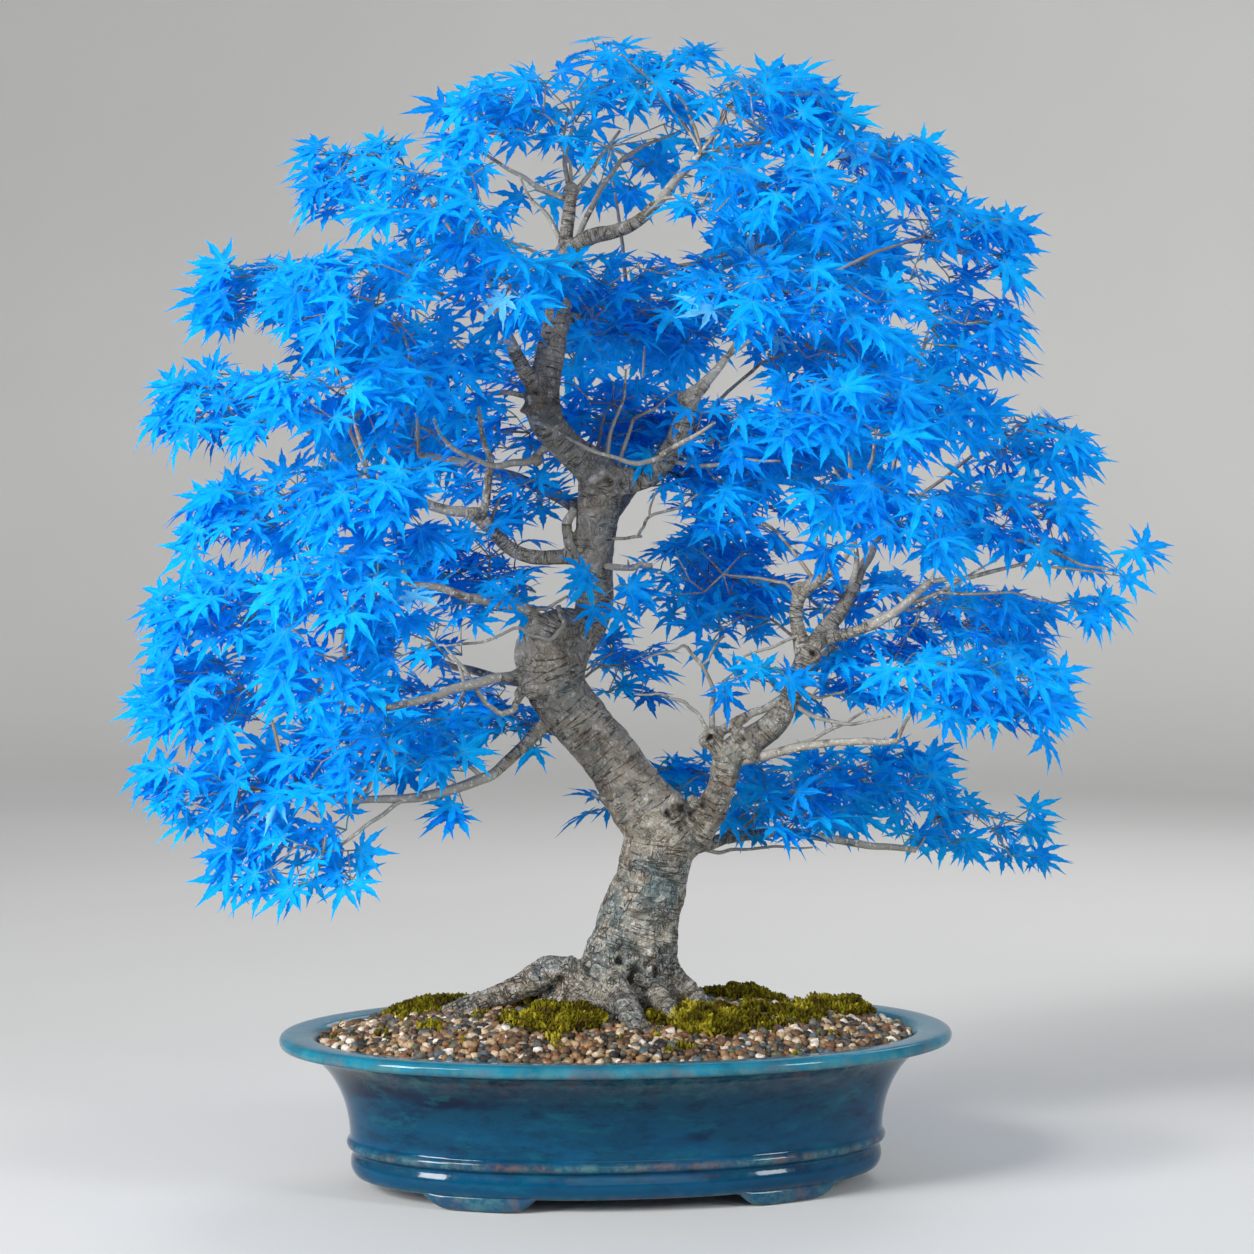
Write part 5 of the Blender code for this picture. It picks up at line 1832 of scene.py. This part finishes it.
def make_drainage():
    """Finishes for the nets over the drain holes and the wires that hold them."""
    net = small_part_material("net_plastic", (0.02, 0.02, 0.022), 0.0, 0.4, 0.65)
    wire = small_part_material("clip_wire", (0.55, 0.54, 0.52), 1.0, 0.28, 0.5)
    for side in ("left", "right"):
        dress(f"drain_screen_{side}", net)
        dress(f"screen_clip_{side}", wire)


# ---- stage


def aim(obj):
    """Turns a light towards the tree's middle."""
    obj.rotation_euler = (Vector(LIGHTS_AIM) - obj.location).to_track_quat("-Z", "Y").to_euler()


def soft_light(name, place, width, height, watts, colour):
    """An oblong soft light that points at the tree and stays out of view."""
    light = bpy.data.lights.new(name, "AREA")
    light.shape = "RECTANGLE"
    light.size = width
    light.size_y = height
    light.energy = watts
    light.color = colour
    obj = bpy.data.objects.new(name, light)
    bpy.context.scene.collection.objects.link(obj)
    obj.location = place
    obj.visible_camera = False
    aim(obj)


def make_stage():
    """A pale floor that curves up far away, soft lights and the camera."""
    scene = bpy.context.scene
    tones = scene.bonsai_stage
    shape = bmesh.new()
    bmesh.ops.create_circle(shape, cap_ends=True, segments=96, radius=FLOOR_RADIUS)
    edges = [edge for edge in shape.edges if edge.is_boundary]
    for out, rise in FLOOR_CURVE:
        ends, edges = drawn_out(shape, edges)
        for vert in ends:
            flat = Vector((vert.co.x, vert.co.y, 0))
            vert.co += flat.normalized() * out + Vector((0, 0, rise))
    bmesh.ops.recalc_face_normals(shape, faces=shape.faces)
    floor = finished("studio_floor", shape, floor_material())
    sun = bpy.data.lights.new("key_sun", "SUN")
    sun.energy = tones.sun_strength
    sun.angle = KEY_SOFTNESS
    sun.color = (1.0, 0.99, 0.97)
    key = bpy.data.objects.new("key_sun", sun)
    scene.collection.objects.link(key)
    key.location = KEY_PLACE
    aim(key)
    for name, (place, width, height, setting, share, colour) in LAMPS.items():
        soft_light(name, place, width, height, getattr(tones, setting) * share, colour)
    world = bpy.data.worlds.new("studio_air")
    scene.world = world
    world.use_nodes = True
    air = world.node_tree.nodes["Background"]
    air.inputs["Color"].default_value = (0.93, 0.96, 1.0, 1.0)
    air.inputs["Strength"].default_value = tones.air_strength
    scene.view_settings.view_transform = "Standard"
    scene.view_settings.look = "None"
    data = bpy.data.cameras.new("camera")
    data.lens = tones.lens
    data.sensor_width = 36.0
    data.shift_y = tones.shift
    camera = bpy.data.objects.new("camera", data)
    scene.collection.objects.link(camera)
    turn = Matrix.Rotation(TREE_TURN, 3, "Z")
    away = turn @ Vector((0.0045, -tones.camera_distance, tones.camera_height))
    camera.location = POT_PLACE + away
    camera.rotation_euler = (math.radians(90), 0.0, TREE_TURN)
    scene.camera = camera


# ---- settings


def colour_setting(name, description, default):
    """A colour that a user may change."""
    return FloatVectorProperty(
        name=name, description=description, default=(*default, 1.0), size=4, min=0.0, max=1.0,
        subtype="COLOR",
    )


def length_setting(name, description, default, low):
    """A length in metres that a user may change."""
    return FloatProperty(
        name=name, description=description, default=default, min=low, precision=5, unit="LENGTH"
    )


class BonsaiPotSettings(PropertyGroup):
    """Sizes and glaze colours of the pot."""

    rim_half_length: length_setting(
        "Half Length", "From the pot's middle to the rim at its end", 0.170, 0.05
    )
    rim_half_width: length_setting(
        "Half Width", "From the pot's middle to the rim at its front", 0.116, 0.05
    )
    oval_sides: IntProperty(
        name="Oval Sides", description="Points round the oval before it is smoothed", default=112, min=24
    )
    glaze_main: colour_setting("Main Glaze", "The wall's usual blue-green", (0.001, 0.042, 0.085))
    glaze_deep: colour_setting("Deep Glaze", "Where the glaze lies thick", (0.001, 0.010, 0.036))
    glaze_teal: colour_setting("Teal Glaze", "Greener clouds in the glaze", (0.002, 0.078, 0.112))
    glaze_bright: colour_setting("Lip Glaze", "The bright glaze on the lip", (0.004, 0.175, 0.270))
    glaze_foot: colour_setting("Foot Glaze", "The bluer glaze on the base", (0.001, 0.066, 0.150))
    glaze_thin: colour_setting("Thin Glaze", "Where the glaze runs thin on edges", (0.12, 0.26, 0.24))
    glaze_rust: colour_setting("Rust Edge", "Clay showing through thin glaze", (0.20, 0.12, 0.085))
    glaze_iron: colour_setting("Iron Specks", "Dark specks in the glaze", (0.012, 0.012, 0.016))


class BonsaiWoodSettings(PropertyGroup):
    """Skin fineness and bark colours."""

    skin_size: length_setting("Skin Size", "Cell size of the fused trunk's skin", 0.00108, 0.0005)
    bark_main: colour_setting("Bark", "The bark's usual beige-grey", (0.330, 0.288, 0.224))
    bark_brown: colour_setting("Brown Bark", "Warm brown patches", (0.205, 0.148, 0.100))
    bark_cool: colour_setting("Cool Bark", "Blue-grey patches", (0.108, 0.142, 0.152))
    bark_pale: colour_setting("Pale Bark", "Scuffed and crusted bark", (0.620, 0.595, 0.535))
    # Dark patches, and the colour that the bark grows towards at the bottom.
    bark_darkened: colour_setting("Weathered Bark", "Dark weathered patches", (0.085, 0.078, 0.062))
    bark_crack: colour_setting("Cracks", "Inside cracks and pits", (0.022, 0.018, 0.013))
    bark_dead: colour_setting("Dead Wood", "Bleached wood at old wounds", (0.66, 0.64, 0.58))
    # Painted shade inside the hollows at the foot and at the wounds.
    bark_hollow_shade: colour_setting("Hollows", "Inside hollows at the foot", (0.012, 0.010, 0.008))
    lichen: colour_setting("Lichen", "Blue-green crust", (0.095, 0.160, 0.165))
    twig_grey: colour_setting("Grey Twig", "Older twigs", (0.300, 0.280, 0.235))
    twig_dark: colour_setting("Dark Twig", "Shaded twigs", (0.110, 0.100, 0.082))
    twig_young: colour_setting("Young Twig", "This year's shoots", (0.235, 0.160, 0.105))


class BonsaiLeafSettings(PropertyGroup):
    """Leaf size, spacing and colours."""

    leaf_length: length_setting("Leaf Length", "Length of a usual leaf's middle lobe", 0.0164, 0.005)
    joint_spacing: length_setting(
        "Joint Spacing", "Least gap between twig joints in a spray", 0.0121, 0.004
    )
    spray_depth: length_setting("Spray Depth", "How deep a spray's twigs lie under its top", 0.024, 0.0)
    edge_margin: length_setting("Edge Margin", "How far joints stay inside a spray's edge", 0.014, 0.0)
    leaf_deep: colour_setting("Deep Leaf", "The darkest leaves", (0.002, 0.225, 0.76))
    leaf_blue: colour_setting("Blue Leaf", "Most leaves", (0.003, 0.360, 0.95))
    leaf_bright: colour_setting("Bright Leaf", "The brightest leaves", (0.004, 0.490, 1.0))
    leaf_pale: colour_setting("Pale Leaf", "A few nearly white leaves", (0.16, 0.66, 0.98))
    leaf_vein: colour_setting("Veins", "Ribs and the leaf's heart", (0.06, 0.58, 1.0))
    leaf_stalk: colour_setting("Stalks", "Leaf stalks", (0.10, 0.34, 0.42))


class BonsaiGroundSettings(PropertyGroup):
    """Gravel size and moss colours."""

    stone_size: length_setting("Stone Size", "Length of a usual stone", 0.0039, 0.002)
    shoot_spacing: length_setting("Shoot Spacing", "Gap between moss shoots", 0.00125, 0.0005)
    shoot_length: length_setting("Shoot Length", "Length of a usual moss shoot", 0.0023, 0.0005)
    # Painted shade at the moss's foot, between the shoots.
    moss_shade: colour_setting("Moss Foot", "Between the shoots", (0.018, 0.012, 0.002))
    moss_olive: colour_setting("Olive Moss", "Most of the cushion", (0.090, 0.068, 0.003))
    moss_green: colour_setting("Green Moss", "Growing shoots", (0.185, 0.165, 0.006))
    moss_tip: colour_setting("Moss Tips", "Fresh yellow-green tips", (0.400, 0.330, 0.030))
    moss_dry: colour_setting("Dry Moss", "Brown, dried shoots", (0.150, 0.090, 0.030))


class BonsaiStageSettings(PropertyGroup):
    """Floor, light and camera."""

    floor_colour: colour_setting("Floor", "The studio floor's colour", (0.74, 0.74, 0.73))
    sun_strength: FloatProperty(
        name="Key Light", description="Strength of the main soft light", default=1.20, min=0.0,
        subtype="FACTOR",
    )
    lamp_watts: FloatProperty(
        name="Lamps", description="Power of the front window light", default=31.0, min=0.0,
        unit="POWER",
    )
    front_watts: FloatProperty(
        name="Front Light", description="Power of the broad light beside the camera", default=5.5,
        min=0.0, unit="POWER",
    )
    air_strength: FloatProperty(
        name="Air", description="Strength of the even light from all round", default=0.21, min=0.0,
        subtype="FACTOR",
    )
    lens: FloatProperty(
        name="Lens", description="Focal length on a 36 mm sensor", default=77.3, min=10.0, unit="CAMERA"
    )
    shift: FloatProperty(
        name="Shift", description="Share of the frame that the view is moved up", default=-0.0183,
        subtype="FACTOR", min=-1.0, max=1.0,
    )
    camera_distance: length_setting("Distance", "From the pot's middle to the camera", 1.36, 0.3)
    camera_height: length_setting("Height", "Camera height over the floor", 0.2908, 0.0)


# ---- operators


class BONSAI_OT_pot(Operator):
    """Model the glazed oval pot and its feet"""

    bl_idname = "bonsai.pot"
    bl_label = "Glazed Pot"

    def execute(self, context):
        make_pot()
        return {"FINISHED"}


class BONSAI_OT_drainage(Operator):
    """Finish the drain nets and their wires"""

    bl_idname = "bonsai.drainage"
    bl_label = "Drain Nets"

    def execute(self, context):
        make_drainage()
        return {"FINISHED"}


class BONSAI_OT_wood(Operator):
    """Model the roots, trunk and thick limbs"""

    bl_idname = "bonsai.wood"
    bl_label = "Trunk and Limbs"

    def execute(self, context):
        make_wood()
        return {"FINISHED"}


class BONSAI_OT_branch_ends(Operator):
    """Model the thin limb ends and bare spurs"""

    bl_idname = "bonsai.branch_ends"
    bl_label = "Branch Ends"

    def execute(self, context):
        make_branch_ends()
        return {"FINISHED"}


class BONSAI_OT_sprays(Operator):
    """Grow the leaf sprays and their twigs"""

    bl_idname = "bonsai.sprays"
    bl_label = "Leaf Sprays"

    def execute(self, context):
        make_sprays()
        return {"FINISHED"}


class BONSAI_OT_gravel(Operator):
    """Strew the gravel"""

    bl_idname = "bonsai.gravel"
    bl_label = "Gravel"

    def execute(self, context):
        make_gravel()
        return {"FINISHED"}


class BONSAI_OT_moss(Operator):
    """Grow the moss cushions"""

    bl_idname = "bonsai.moss"
    bl_label = "Moss"

    def execute(self, context):
        make_moss()
        return {"FINISHED"}


class BONSAI_OT_stage(Operator):
    """Set up the floor, the lights and the camera"""

    bl_idname = "bonsai.stage"
    bl_label = "Studio"

    def execute(self, context):
        make_stage()
        return {"FINISHED"}


STEPS = (
    ("bonsai_stage", ("bonsai.stage",)),
    ("bonsai_pot", ("bonsai.pot", "bonsai.drainage")),
    ("bonsai_wood", ("bonsai.wood", "bonsai.branch_ends")),
    ("bonsai_leaves", ("bonsai.sprays",)),
    ("bonsai_ground", ("bonsai.gravel", "bonsai.moss")),
)


class BONSAI_PT_panel(Panel):
    """Lists the settings and the pieces"""

    bl_idname = "BONSAI_PT_panel"
    bl_label = "Maple Bonsai"
    bl_space_type = "VIEW_3D"
    bl_region_type = "UI"
    bl_category = "Bonsai"

    def draw(self, context):
        for group, operators in STEPS:
            box = self.layout.box()
            settings = getattr(context.scene, group)
            for name in settings.__annotations__:
                box.prop(settings, name)
            for operator in operators:
                box.operator(operator)


SETTINGS = {
    "bonsai_pot": BonsaiPotSettings,
    "bonsai_wood": BonsaiWoodSettings,
    "bonsai_leaves": BonsaiLeafSettings,
    "bonsai_ground": BonsaiGroundSettings,
    "bonsai_stage": BonsaiStageSettings,
}
CLASSES = (
    *SETTINGS.values(),
    BONSAI_OT_pot,
    BONSAI_OT_drainage,
    BONSAI_OT_wood,
    BONSAI_OT_branch_ends,
    BONSAI_OT_sprays,
    BONSAI_OT_gravel,
    BONSAI_OT_moss,
    BONSAI_OT_stage,
    BONSAI_PT_panel,
)


def register():
    noise.seed_set(NOISE_SEED)
    for cls in CLASSES:
        bpy.utils.register_class(cls)
    for name, cls in SETTINGS.items():
        setattr(bpy.types.Scene, name, PointerProperty(type=cls))


def unregister():
    for name in SETTINGS:
        delattr(bpy.types.Scene, name)
    for cls in reversed(CLASSES):
        bpy.utils.unregister_class(cls)


def main():
    register()
    bpy.ops.bonsai.stage()
    bpy.ops.bonsai.pot()
    bpy.ops.bonsai.drainage()
    bpy.ops.bonsai.wood()
    bpy.ops.bonsai.branch_ends()
    bpy.ops.bonsai.sprays()
    bpy.ops.bonsai.gravel()
    bpy.ops.bonsai.moss()
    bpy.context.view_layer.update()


if __name__ == "__main__":
    main()
